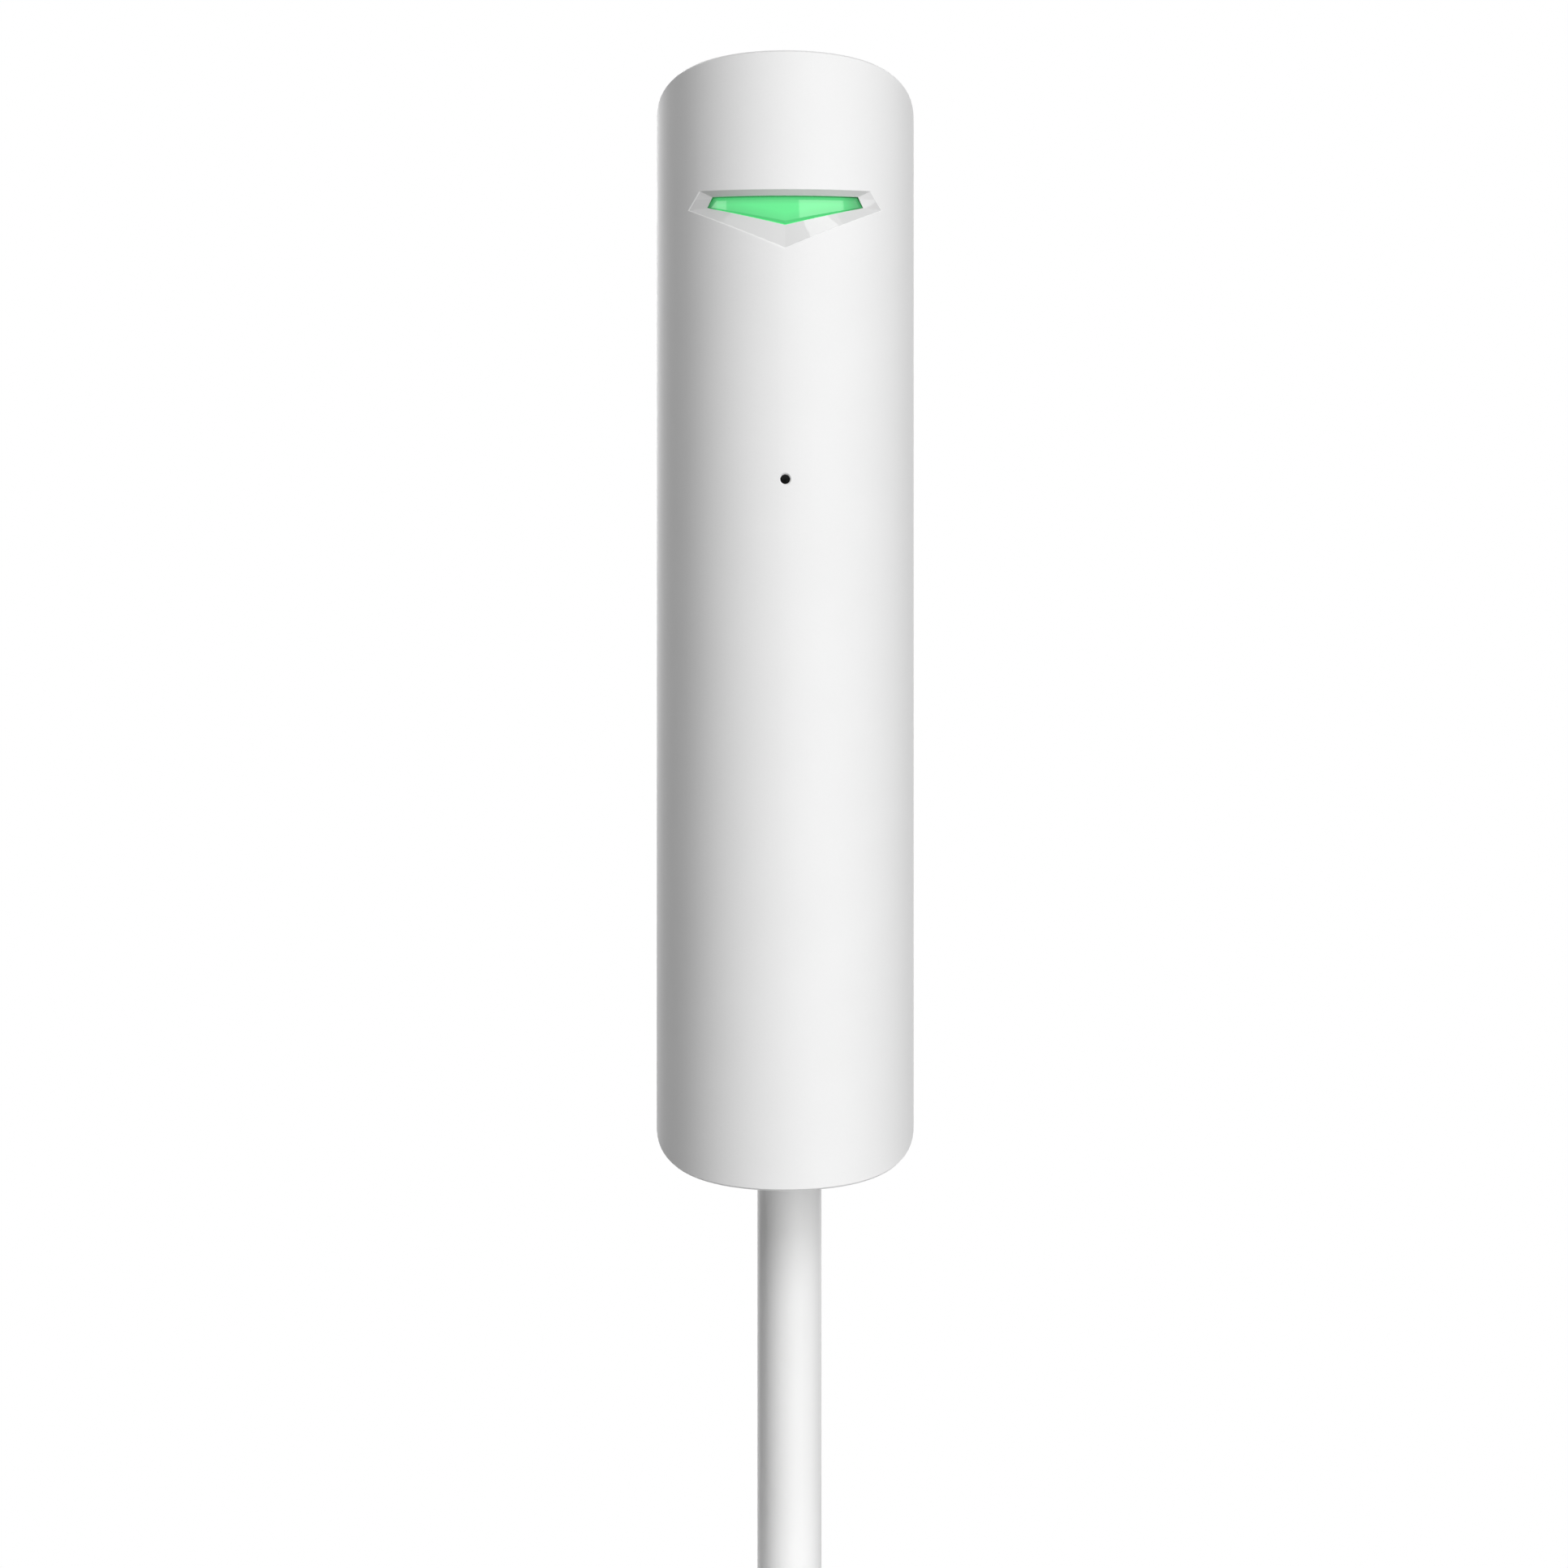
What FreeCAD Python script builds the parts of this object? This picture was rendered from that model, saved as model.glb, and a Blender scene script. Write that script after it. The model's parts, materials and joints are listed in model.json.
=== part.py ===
import FreeCAD, Part
import math
import os
import re
import Sketcher

# A slim wall-mounted glass break sensor with its own lead.
# Origin on the wall face at the middle of the body's height, +Z up, front towards -Y.

App = FreeCAD
doc = App.newDocument("glass_break_sensor")
dims = doc.addObject("Spreadsheet::Sheet", "sizes")

sizes = {
    # outer form
    "body_height": 89.3,
    "layout_height": 89.3,
    "body_radius": 10.2,
    "axis_to_wall": 7.5,
    "end_arc_radius": 31.7,
    "end_front_slope": 14.3,
    "rim_break": 0.15,
    "wall": 1.4,
    "margin": 1.0,
    "fit_gap": 0.1,
    # seam between the cover and the back plate
    "seam_from_wall": 3.4,
    "lip_height": 1.3,
    "lip_thickness": 0.7,
    "plate_floor": 1.8,
    "seam_groove": 0.25,
    # faceted window in the cover
    "window_top_drop": 10.9,
    "window_top_half": 6.74,
    "window_side_half": 7.64,
    "window_side_drop": 12.38,
    "window_point_drop": 15.63,
    "lens_top_drop": 11.43,
    "lens_top_half": 5.67,
    "lens_side_half": 6.08,
    "lens_side_drop": 12.23,
    "lens_point_drop": 13.64,
    "recess_depth": 0.45,
    "lens_sunk": 0.37,
    "lens_bevel": 0.25,
    "lens_gap": 0.08,
    "guide_shoulder_depth": 4.7,
    "guide_shoulder": 1.0,
    "guide_shoulder_extra": 0.55,
    "guide_foot_inset": 0.6,
    "guide_end_room": 0.9,
    "frame_half": 7.2,
    "frame_top_drop": 9.45,
    "frame_bottom_drop": 16.05,
    # microphone and its port
    "mic_height_level": 11.06,
    "port_radius": 0.39,
    "port_chamfer": 0.1,
    "port_well_radius": 1.3,
    "port_skin": 1.0,
    "mic_boss_radius": 4.4,
    "mic_boss_depth": 2.5,
    "mesh_radius": 2.2,
    "mesh_thickness": 0.2,
    "boot_radius": 3.9,
    "boot_channel": 0.9,
    "boot_bevel": 0.2,
    "capsule_radius": 3.0,
    "capsule_length": 3.4,
    "capsule_stand": 0.6,
    "capsule_pin_half": 0.25,
    "capsule_pin_spread": 1.27,
    # circuit board
    "board_from_wall": 5.0,
    "board_thickness": 1.6,
    "board_inset": 2.5,
    "board_top_gap": 0.3,
    "board_bottom_level": -21.5,
    "board_corner": 1.5,
    "upper_wall_hole_level": 25.5,
    "lower_wall_hole_level": -14.5,
    "wall_hole_radius": 1.8,
    "wall_head_radius": 3.4,
    "wall_head_sink": 0.9,
    "driver_hole_radius": 3.7,
    # board screws
    "board_screw_inset": 4.8,
    "upper_post_level": 19.8,
    "lower_post_level": -11.3,
    "post_radius": 2.0,
    "rest_post_half": 0.8,
    "screw_radius": 0.95,
    "screw_hole_radius": 1.1,
    "screw_head_radius": 1.7,
    "screw_head_height": 1.1,
    "screw_head_bevel": 0.45,
    "screw_length": 5.0,
    "cross_reach": 1.0,
    "cross_width": 0.5,
    "cross_depth": 0.6,
    # parts on the board
    "led_width": 3.2,
    "led_height": 2.8,
    "led_depth": 1.9,
    "led_case_depth": 1.4,
    "led_edge": 0.1,
    "led_dome": 1.1,
    "leg_reach": 0.8,
    "leg_width": 0.35,
    "leg_height": 0.3,
    "processor_width": 7.0,
    "processor_depth": 1.4,
    "processor_side": -1.8,
    "processor_level": -0.4,
    "amplifier_width": 3.9,
    "amplifier_height": 4.9,
    "amplifier_depth": 1.5,
    "amplifier_inset": 6.6,
    "amplifier_level": 18.4,
    "relay_width": 3.0,
    "relay_height": 4.2,
    "relay_depth": 2.1,
    "relay_inset": 4.45,
    "relay_level": -15.6,
    "capacitor_radius": 2.5,
    "capacitor_length": 5.0,
    "capacitor_bevel": 0.2,
    "capacitor_foot": 0.5,
    "capacitor_inset": 5.3,
    "capacitor_level": -6.8,
    "choke_width": 4.0,
    "choke_depth": 2.2,
    "choke_drum_radius": 1.7,
    "choke_flange": 0.6,
    "choke_side": -0.9,
    "choke_level": -7.6,
    "crystal_width": 2.4,
    "crystal_height": 3.6,
    "crystal_depth": 0.9,
    "crystal_inset": 5.0,
    "crystal_level": 0.2,
    "header_inset": 4.6,
    "header_level": 5.8,
    "header_width": 2.4,
    "header_pitch": 2.54,
    "header_depth": 2.5,
    "pin_width": 0.64,
    "pin_length": 5.4,
    "link_depth": 3.2,
    "chip_inset": 3.9,
    "chip_width": 1.25,
    "chip_height": 2.0,
    "chip_depth": 0.55,
    "resistor_first_level": 5.6,
    "condenser_first_level": 24.0,
    "chip_spacing": 2.4,
    # tamper switch behind the board
    "tamper_level": 6.5,
    "switch_width": 6.2,
    "switch_depth": 2.8,
    "button_radius": 1.2,
    "button_collar_radius": 1.7,
    "button_collar": 0.5,
    "button_travel": 0.8,
    "button_slack": 0.05,
    "button_end_room": 0.3,
    # lead
    "cable_radius": 2.55,
    "cable_from_wall": 4.6,
    "cable_side": 0.34,
    "cable_start_level": -24.6,
    "hank_top_drop": 33.85,
    "cable_gap": 0.05,
    "sleeve_radius": 3.5,
    "sleeve_top_rise": 11.65,
    "sleeve_bottom_rise": 5.05,
    "sleeve_round": 0.6,
    "clamp_level": -28.2,
    "clamp_height": 3.6,
    "clamp_half": 6.1,
    "clamp_step": 1.3,
    "clamp_screw_side": 4.5,
    "core_radius": 0.5,
    "core_ring": 1.45,
    "pad_level": -19.9,
    "pad_pitch": 2.2,
    # put-away hank and bare ends
    "hank_fold_radius": 15.6,
    "hank_run": 83.0,
    "hank_layers": 4,
    "tie_width": 4.0,
    "tie_thickness": 0.6,
    "tail_length": 24.0,
    "tail_core_length": 18.0,
    "tail_spread": 1.6,
    "tail_spread_step": 0.5,
    "tip_length": 5.0,
    "tip_radius": 0.3,
    # catches between the cover and the back plate
    "tongue_thickness": 1.0,
    "tongue_half": 2.8,
    "tongue_from_wall": 8.4,
    "tongue_hook": 1.0,
    "tongue_hook_depth": 0.9,
    "tongue_top_drop": 10.25,
    "catch_depth": 1.0,
    "low_tongue_side": 5.2,
    "low_tongue_half": 1.3,
}

# Places that follow from the sizes: heights from the two ends, depths from the wall
places = {
    "window_top": "body_height / 2 - window_top_drop",
    "window_side": "body_height / 2 - window_side_drop",
    "window_point": "body_height / 2 - window_point_drop",
    "lens_top": "body_height / 2 - lens_top_drop",
    "lens_side": "body_height / 2 - lens_side_drop",
    "lens_point": "body_height / 2 - lens_point_drop",
    "guide_shoulder_from_wall": "axis_to_wall + body_radius - guide_shoulder_depth",
    "guide_end_from_wall": "board_from_wall + board_thickness + led_depth + guide_end_room",
    "frame_top": "body_height / 2 - frame_top_drop",
    "frame_bottom": "body_height / 2 - frame_bottom_drop",
    "mic_boss_from_wall": "axis_to_wall + body_radius - mic_boss_depth",
    "board_top": "body_height / 2 - tongue_top_drop - tongue_thickness - board_top_gap",
    "led_place": "board_top - led_edge - led_height / 2",
    "cable_hank_top": "-body_height / 2 - hank_top_drop",
    "sleeve_top": "sleeve_top_rise - body_height / 2",
    "sleeve_bottom": "sleeve_bottom_rise - body_height / 2",
    "tie_place": "-body_height / 2 - hank_top_drop - hank_fold_radius - cable_radius - hank_run / 2",
    "tongue_top": "body_height / 2 - tongue_top_drop",
}

# Heights on the board, which keep their share of a taller or shorter body
for name in ("upper_wall_hole", "lower_wall_hole", "upper_post", "lower_post", "processor_place",
             "amplifier_place", "relay_place", "capacitor_place", "choke_place", "crystal_place",
             "header_place", "resistor_first", "condenser_first", "mic_height", "tamper_place",
             "board_bottom", "pad_place", "cable_start", "clamp_place"):
    places[name] = name.replace("_place", "") + "_level * body_height / layout_height"
# Sides on the board, measured in from the barrel
for name in ("board_half", "board_screw_side", "amplifier_side", "relay_side", "capacitor_side",
             "crystal_side", "header_side", "chip_side"):
    places[name] = "body_radius - " + name.replace("_side", "").replace("_half", "") + "_inset"

cells = [(alias, str(value)) for alias, value in sizes.items()]
cells += [(alias, "=" + text) for alias, text in places.items()]
for row, (alias, content) in enumerate(cells, start=1):
    dims.set("A%d" % row, alias)
    dims.setAlias("B%d" % row, alias)
    dims.set("B%d" % row, content)
doc.recompute()
named = set(sizes) | set(places)

nodes = []


def size(alias):
    return float(dims.get(alias))


def formula(text):
    """Point every size named in the text at its cell of the sheet."""
    def point(found):
        word = found.group(0)
        return "sizes." + word if word in named else word
    return re.sub(r"[a-z][a-z_]*", point, str(text))


def bind(item, **properties):
    for name, text in properties.items():
        item.setExpression(name, formula(text))
    return item


def place(item, x="0", y="0", z="0", turn=None):
    if turn:
        item.Placement = App.Placement(App.Vector(), turn)
    for axis, text in (("x", x), ("y", y), ("z", z)):
        item.setExpression("Placement.Base." + axis, formula(text))
    return item


def keep(item, node):
    """Mark a finished piece as the node with this name."""
    item.Label = node
    nodes.append(item)
    return item


TURN_TO_BACK = App.Rotation(App.Vector(1, 0, 0), -90)
TURN_TO_FRONT = App.Rotation(App.Vector(1, 0, 0), 90)
SEAM_TO_BACK = App.Rotation(App.Vector(0, 0, 1), 90)

# Places that several pieces share, measured from the wall plane
FRONT = "-(axis_to_wall + body_radius)"
SEAM = "-seam_from_wall"
BOARD_BACK = "-board_from_wall"
BOARD_FRONT = "-(board_from_wall + board_thickness)"
SWITCH_END = "-(board_from_wall - switch_depth)"
CLAMP_SEAT = "-(cable_from_wall + clamp_step)"


def block(name, x, y, z):
    """A box between pairs of planes."""
    item = doc.addObject("Part::Box", name)
    place(item, x[0], y[0], z[0])
    return bind(item, Length="(%s) - (%s)" % (x[1], x[0]), Width="(%s) - (%s)" % (y[1], y[0]),
                Height="(%s) - (%s)" % (z[1], z[0]))


def rod(name, radius, x, y, z):
    """A round bar along Y from y[0] to y[1], about the line x, z."""
    item = doc.addObject("Part::Cylinder", name)
    place(item, x, y[0], z, TURN_TO_BACK)
    return bind(item, Radius=radius, Height="(%s) - (%s)" % (y[1], y[0]))


def pillar(name, radius, x, y, z):
    """A round bar along Z from z[0] to z[1], about the line x, y."""
    item = doc.addObject("Part::Cylinder", name)
    place(item, x, y, z[0])
    return bind(item, Radius=radius, Height="(%s) - (%s)" % (z[1], z[0]))


def cut(name, base, tool):
    item = doc.addObject("Part::Cut", name)
    item.Base = base
    item.Tool = tool
    return item


def fuse(name, *parts):
    item = doc.addObject("Part::MultiFuse", name)
    item.Shapes = list(parts)
    return item


def common(name, *parts):
    item = doc.addObject("Part::MultiCommon", name)
    item.Shapes = list(parts)
    return item


def group(node, parts):
    """Several like pieces kept as separate solids in one node."""
    item = doc.addObject("Part::Compound", node)
    item.Links = parts
    return keep(item, node)


def attached_sketch(body, name, role):
    sketch = body.newObject("Sketcher::SketchObject", name)
    plane = [feature for feature in body.Origin.OriginFeatures if feature.Role == role][0]
    sketch.AttachmentSupport = (plane, [""])
    sketch.MapMode = "FlatFace"
    return sketch


def hold(sketch, geometry, point, across, up, guess):
    """Fix a point of a sketch by its two distances from the origin."""
    for kind, text, start in (("DistanceX", across, guess.x), ("DistanceY", up, guess.y)):
        index = sketch.addConstraint(Sketcher.Constraint(kind, -1, 1, geometry, point, start))
        sketch.setExpression("Constraints[%d]" % index, formula(text))


def polygon(sketch, corners):
    """A closed outline, each corner held by its own distances."""
    count = len(corners)
    turns = [2 * math.pi * (corner + 0.1) / count for corner in range(count)]
    ring = [App.Vector(math.cos(turn), math.sin(turn), 0) for turn in turns]
    first = sketch.GeometryCount
    for corner in range(count):
        sketch.addGeometry(Part.LineSegment(ring[corner], ring[(corner + 1) % count]), False)
    for corner in range(count):
        sketch.addConstraint(Sketcher.Constraint(
            "Coincident", first + corner, 2, first + (corner + 1) % count, 1))
    for corner, (across, up) in enumerate(corners):
        hold(sketch, first + corner, 1, across, up, ring[corner])


def circle(sketch, radius, across, up):
    index = sketch.addGeometry(Part.Circle(App.Vector(1, 1, 0), App.Vector(0, 0, 1), 1), False)
    hold(sketch, index, 3, across, up, App.Vector(1, 1, 0))
    bound = sketch.addConstraint(Sketcher.Constraint("Radius", index, 1))
    sketch.setExpression("Constraints[%d]" % bound, formula(radius))


def turned(name, profile, x="0", y="0", z="0", turn=None):
    """A turned piece: its half profile spun once about its own axis."""
    body = doc.addObject("PartDesign::Body", name)
    sketch = attached_sketch(body, name + "_profile", "XZ_Plane")
    polygon(sketch, profile)
    spin = body.newObject("PartDesign::Revolution", name + "_spin")
    spin.Profile = sketch
    spin.ReferenceAxis = (sketch, ["V_Axis"])
    spin.Angle = 360
    sketch.Visibility = False
    return place(body, x, y, z, turn)


def plate(name, corners, thickness, x="0", y="0", z="0"):
    """A flat piece seen from the front, padded forwards from its back face."""
    body = doc.addObject("PartDesign::Body", name)
    sketch = attached_sketch(body, name + "_outline", "XZ_Plane")
    polygon(sketch, corners)
    pad = body.newObject("PartDesign::Pad", name + "_pad")
    pad.Profile = sketch
    bind(pad, Length=thickness)
    return place(body, x, y, z)


def rectangle(width, height, x="0", z="0"):
    left, right = "(%s) - (%s) / 2" % (x, width), "(%s) + (%s) / 2" % (x, width)
    low, high = "(%s) - (%s) / 2" % (z, height), "(%s) + (%s) / 2" % (z, height)
    return [(left, low), (right, low), (right, high), (left, high)]


def side_profile(name, inset):
    """The body seen from its side: both ends curve back to the wall on one arc each."""
    sketch = doc.addObject("Sketcher::SketchObject", name + "_profile")
    sketch.Placement = App.Placement(App.Vector(), App.Rotation(App.Vector(1, 1, 1), 120))
    arc_out = "(axis_to_wall + body_radius + end_arc_radius * sin(end_front_slope))"
    arc_up = "(body_height / 2 - end_arc_radius * cos(end_front_slope))"
    radius = size("end_arc_radius") - (size("wall") if inset != "0" else 0)
    out = -(size("axis_to_wall") + size("body_radius")
            + size("end_arc_radius") * math.sin(math.radians(size("end_front_slope"))))
    up = size("body_height") / 2 - size("end_arc_radius") * math.cos(
        math.radians(size("end_front_slope")))
    front = -(size("axis_to_wall") + size("body_radius") + size("margin"))
    back = size("margin")
    near = math.acos((front - out) / radius)
    far = math.acos((back - out) / radius)
    z_axis = App.Vector(0, 0, 1)
    top = Part.Circle(App.Vector(out, up, 0), z_axis, radius)
    low = Part.Circle(App.Vector(out, -up, 0), z_axis, radius)
    high, deep = up + radius * math.sin(near), up + radius * math.sin(far)
    sketch.addGeometry(Part.ArcOfCircle(top, far, near), False)
    sketch.addGeometry(Part.LineSegment(App.Vector(front, high, 0), App.Vector(front, -high, 0)), False)
    sketch.addGeometry(Part.ArcOfCircle(low, -near, -far), False)
    sketch.addGeometry(Part.LineSegment(App.Vector(back, -deep, 0), App.Vector(back, deep, 0)), False)
    for first, first_end, second, second_end in ((0, 2, 1, 1), (1, 2, 2, 1), (2, 2, 3, 1), (3, 2, 0, 1)):
        sketch.addConstraint(Sketcher.Constraint("Coincident", first, first_end, second, second_end))
    sketch.addConstraint(Sketcher.Constraint("Vertical", 1))
    sketch.addConstraint(Sketcher.Constraint("Vertical", 3))
    hold(sketch, 0, 3, "-" + arc_out, arc_up, App.Vector(out, up, 0))
    hold(sketch, 2, 3, "-" + arc_out, "-" + arc_up, App.Vector(out, -up, 0))
    for index, text, start in ((0, "end_arc_radius - (%s)" % inset, radius),
                               (2, "end_arc_radius - (%s)" % inset, radius)):
        bound = sketch.addConstraint(Sketcher.Constraint("Radius", index, start))
        sketch.setExpression("Constraints[%d]" % bound, formula(text))
    for index, text, start in ((1, FRONT + " - margin", front), (3, "margin", back)):
        bound = sketch.addConstraint(Sketcher.Constraint("DistanceX", -1, 1, index, 1, start))
        sketch.setExpression("Constraints[%d]" % bound, formula(text))
    return sketch


def body_form(name, inset):
    """The whole outer form, moved inwards by the inset on its barrel and both ends."""
    barrel = doc.addObject("Part::Cylinder", name + "_barrel")
    place(barrel, "0", "-axis_to_wall", "-body_height / 2 - margin", SEAM_TO_BACK)
    bind(barrel, Radius="body_radius - (%s)" % inset, Height="body_height + 2 * margin")
    side = doc.addObject("Part::Extrusion", name + "_side")
    side.Base = side_profile(name, inset)
    side.DirMode = "Custom"
    side.Dir = App.Vector(1, 0, 0)
    side.Solid = True
    side.Symmetric = True
    bind(side, LengthFwd="2 * (body_radius + margin)")
    return common(name, barrel, side)


def slice_of(name, form, front, back):
    """The part of a form between two planes parallel to the wall."""
    slab = block(name + "_slab", ("-body_radius - margin", "body_radius + margin"), (front, back),
                 ("-body_height / 2 - margin", "body_height / 2 + margin"))
    return common(name, form, slab)


outer_form = body_form("outer_form", "0")
inner_form = body_form("inner_form", "wall")
lip_form = body_form("lip_form", "wall + fit_gap")
lip_hollow = body_form("lip_hollow", "wall + fit_gap + lip_thickness")
doc.recompute()

# The rims where the barrel meets the two ends are just broken
rims = [index for index, edge in enumerate(outer_form.Shape.Edges, start=1)
        if edge.BoundBox.YLength > size("body_radius")
        and edge.BoundBox.ZLength < size("body_height") / 2
        and edge.BoundBox.XLength > size("body_radius")]
soft_form = doc.addObject("Part::Chamfer", "soft_form")
soft_form.Base = outer_form
soft_form.Edges = [(index, size("rim_break"), size("rim_break")) for index in rims]


def barrel_patch(corners, radius):
    """The part of a cylinder about the body's axis inside an outline seen from the front."""
    axis = -size("axis_to_wall")
    far = axis - 3 * size("body_radius")
    ring = [App.Vector(x, far, z) for x, z in corners]
    prism = Part.Face(Part.makePolygon(ring + ring[:1])).extrude(App.Vector(0, axis - far, 0))
    height = size("body_height")
    barrel = Part.makeCylinder(radius, 2 * height, App.Vector(0, axis, -height))
    barrel.rotate(App.Vector(0, axis, 0), App.Vector(0, 0, 1), 90)
    skin = [face for face in barrel.Faces if face.Surface.TypeId == "Part::GeomCylinder"][0]
    return skin.common(prism).Faces[0]


def nearest_edge(face, start, end):
    middle = App.Vector((start[0] + end[0]) / 2, 0, (start[1] + end[1]) / 2)

    def miss(edge):
        point = edge.valueAt((edge.FirstParameter + edge.LastParameter) / 2)
        return App.Vector(point.x, 0, point.z).distanceToPoint(middle)
    return min(face.Edges, key=miss)


def faceted_plug(outer, outer_radius, inner, inner_radius):
    """A solid with one ruled facet for each side, between outlines on two barrels."""
    front, back = barrel_patch(outer, outer_radius), barrel_patch(inner, inner_radius)
    count = len(outer)
    sides = []
    for side in range(count):
        after = (side + 1) % count
        sides.append(Part.makeRuledSurface(nearest_edge(front, outer[side], outer[after]),
                                           nearest_edge(back, inner[side], inner[after])))
    shell = Part.makeShell(sides + [front, back])
    shell.sewShape()
    solid = Part.makeSolid(shell)
    if solid.Volume < 0:
        solid.reverse()
    return solid


def pentagon(top, top_half, side_half, side, point, grow=0.0):
    """The window's outline: flat top, short sides and a wide point below."""
    return [(-top_half - grow, top + grow), (top_half + grow, top + grow),
            (side_half + grow, side), (0, point - grow), (-side_half - grow, side)]


def window_outline():
    return pentagon(size("window_top"), size("window_top_half"), size("window_side_half"),
                    size("window_side"), size("window_point"))


def lens_outline(grow=0.0):
    return pentagon(size("lens_top"), size("lens_top_half"), size("lens_side_half"),
                    size("lens_side"), size("lens_point"), grow)


def front_prism(corners, front, back):
    """An outline seen from the front, run straight back between two planes."""
    ring = [App.Vector(x, front, z) for x, z in corners]
    return Part.Face(Part.makePolygon(ring + ring[:1])).extrude(App.Vector(0, back - front, 0))


def feature(name, shape):
    item = doc.addObject("Part::Feature", name)
    item.Shape = shape
    return item


# Window recess: facets run from the outline on the skin to the lens outline below it
skin_radius = size("body_radius")
window_recess = feature("window_recess", faceted_plug(
    window_outline(), skin_radius, lens_outline(), skin_radius - size("recess_depth")))
shoulder_plane = -size("guide_shoulder_from_wall")
front_plane = -(size("axis_to_wall") + size("body_radius"))
window_hole = feature("window_hole", front_prism(
    lens_outline(size("lens_gap") / 2), front_plane, shoulder_plane + size("margin")))

# Front cover: the shell, a frame behind the window and a boss behind the port
cover_walls = cut("cover_walls", soft_form, inner_form)
cover_shell = slice_of("cover_shell", cover_walls, FRONT + " - margin", SEAM)
frame_block = block("frame_block", ("-frame_half", "frame_half"),
                    (FRONT, "-guide_shoulder_from_wall"), ("frame_bottom", "frame_top"))
window_frame = common("window_frame", frame_block, body_form("frame_form", "wall / 2"))
boss_bar = rod("boss_bar", "mic_boss_radius", "0", (FRONT, "-mic_boss_from_wall"), "mic_height")
port_boss = common("port_boss", boss_bar, body_form("boss_form", "wall / 2"))

# A rib under each end for the plate's tongues to hook behind
CATCH_FRONT = "-(tongue_from_wall - tongue_hook_depth)"
top_catch = common("top_catch", block(
    "top_catch_block", ("-tongue_half", "tongue_half"),
    (CATCH_FRONT + " + fit_gap", CATCH_FRONT + " + fit_gap + catch_depth"),
    ("tongue_top + fit_gap", "body_height / 2")), body_form("top_catch_form", "wall / 2"))
low_catches = []
for name, side in (("left", "-low_tongue_side"), ("right", "low_tongue_side")):
    low_catches.append(common(name + "_catch", block(
        name + "_catch_block", (side + " - low_tongue_half", side + " + low_tongue_half"),
        (CATCH_FRONT + " + fit_gap", CATCH_FRONT + " + fit_gap + catch_depth"),
        ("-body_height / 2", "-tongue_top - fit_gap")), body_form(name + "_catch_form", "wall / 2")))
cover_full = fuse("cover_full", cover_shell, window_frame, port_boss, top_catch, *low_catches)

port_hole = rod("port_hole", "port_radius", "0", (FRONT + " - margin", "-mic_boss_from_wall + margin"),
                "mic_height")
port_well = rod("port_well", "port_well_radius", "0",
                (FRONT + " + port_skin", "-mic_boss_from_wall + margin"), "mic_height")
port_rim = doc.addObject("Part::Cone", "port_rim")
place(port_rim, "0", FRONT, "mic_height", TURN_TO_BACK)
bind(port_rim, Radius1="port_radius + port_chamfer", Radius2="port_radius", Height="port_chamfer")
sleeve_way = pillar("sleeve_way", "sleeve_radius + cable_gap", "cable_side", "-cable_from_wall",
                    ("sleeve_bottom - margin", "sleeve_top + margin"))
seam_ring = cut("seam_ring", outer_form, body_form("seam_ring_form", "seam_groove"))
seam_edge = slice_of("seam_edge", seam_ring, SEAM + " - seam_groove / 2", SEAM + " + seam_groove / 2")
cover_cuts = fuse("cover_cuts", port_hole, port_well, port_rim, sleeve_way, seam_edge)
cover_open = cut("cover_open", cover_full, cover_cuts)
cover_recessed = cut("cover_recessed", cover_open, window_recess)
front_cover = keep(cut("front_cover", cover_recessed, window_hole), "front_cover")

# Back plate: a tray with an upstanding lip, posts, cable saddle and hooked tongues
plate_slice = slice_of("plate_slice", outer_form, SEAM, "0")
tray_hollow = slice_of("tray_hollow", inner_form, SEAM + " - margin", "-plate_floor")
lip_ring = slice_of("lip_ring", cut("lip_walls", lip_form, lip_hollow), SEAM + " - lip_height",
                    "-plate_floor / 2")
plate_posts = []
for name, side, height in (("upper", "-board_screw_side", "upper_post"),
                           ("lower", "-board_screw_side", "lower_post")):
    plate_posts.append(rod(name + "_post", "post_radius", side, (BOARD_BACK, "-plate_floor / 2"), height))
for name, height in (("upper", "upper_wall_hole"), ("lower", "lower_wall_hole")):
    plate_posts.append(rod(name + "_seat", "wall_head_radius", "0",
                           ("-plate_floor - wall_head_sink", "-plate_floor / 2"), height))
rest_posts = []
for number, height in enumerate(("upper_post", "lower_post"), start=1):
    rest_posts.append(block("rest_post_%d" % number,
                            ("board_screw_side - rest_post_half", "board_screw_side + rest_post_half"),
                            (BOARD_BACK, "-plate_floor / 2"),
                            (height + " - post_radius", height + " + post_radius")))
saddle = block("saddle", ("cable_side - clamp_half", "cable_side + clamp_half"),
               ("-cable_from_wall", "-plate_floor / 2"),
               ("clamp_place - clamp_height / 2", "clamp_place + clamp_height / 2"))
tongues = []
for name, side, half, upper in (("top", "0", "tongue_half", True),
                                ("left", "-low_tongue_side", "low_tongue_half", False),
                                ("right", "low_tongue_side", "low_tongue_half", False)):
    span = (side + " - " + half, side + " + " + half)
    strap = ("tongue_top - tongue_thickness", "tongue_top")
    hook = ("tongue_top - tongue_thickness", "tongue_top + tongue_hook")
    if not upper:
        strap = ("-tongue_top", "-(tongue_top - tongue_thickness)")
        hook = ("-(tongue_top + tongue_hook)", "-(tongue_top - tongue_thickness)")
    tongues.append(block(name + "_tongue", span, ("-tongue_from_wall", "-plate_floor"), strap))
    tongues.append(block(name + "_hook", span, ("-tongue_from_wall", CATCH_FRONT), hook))
plate_hollowed = cut("plate_hollowed", plate_slice, tray_hollow)
plate_full = fuse("plate_full", plate_hollowed, lip_ring, saddle, *(plate_posts + rest_posts + tongues))
plate_drills = [sleeve_way]
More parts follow.
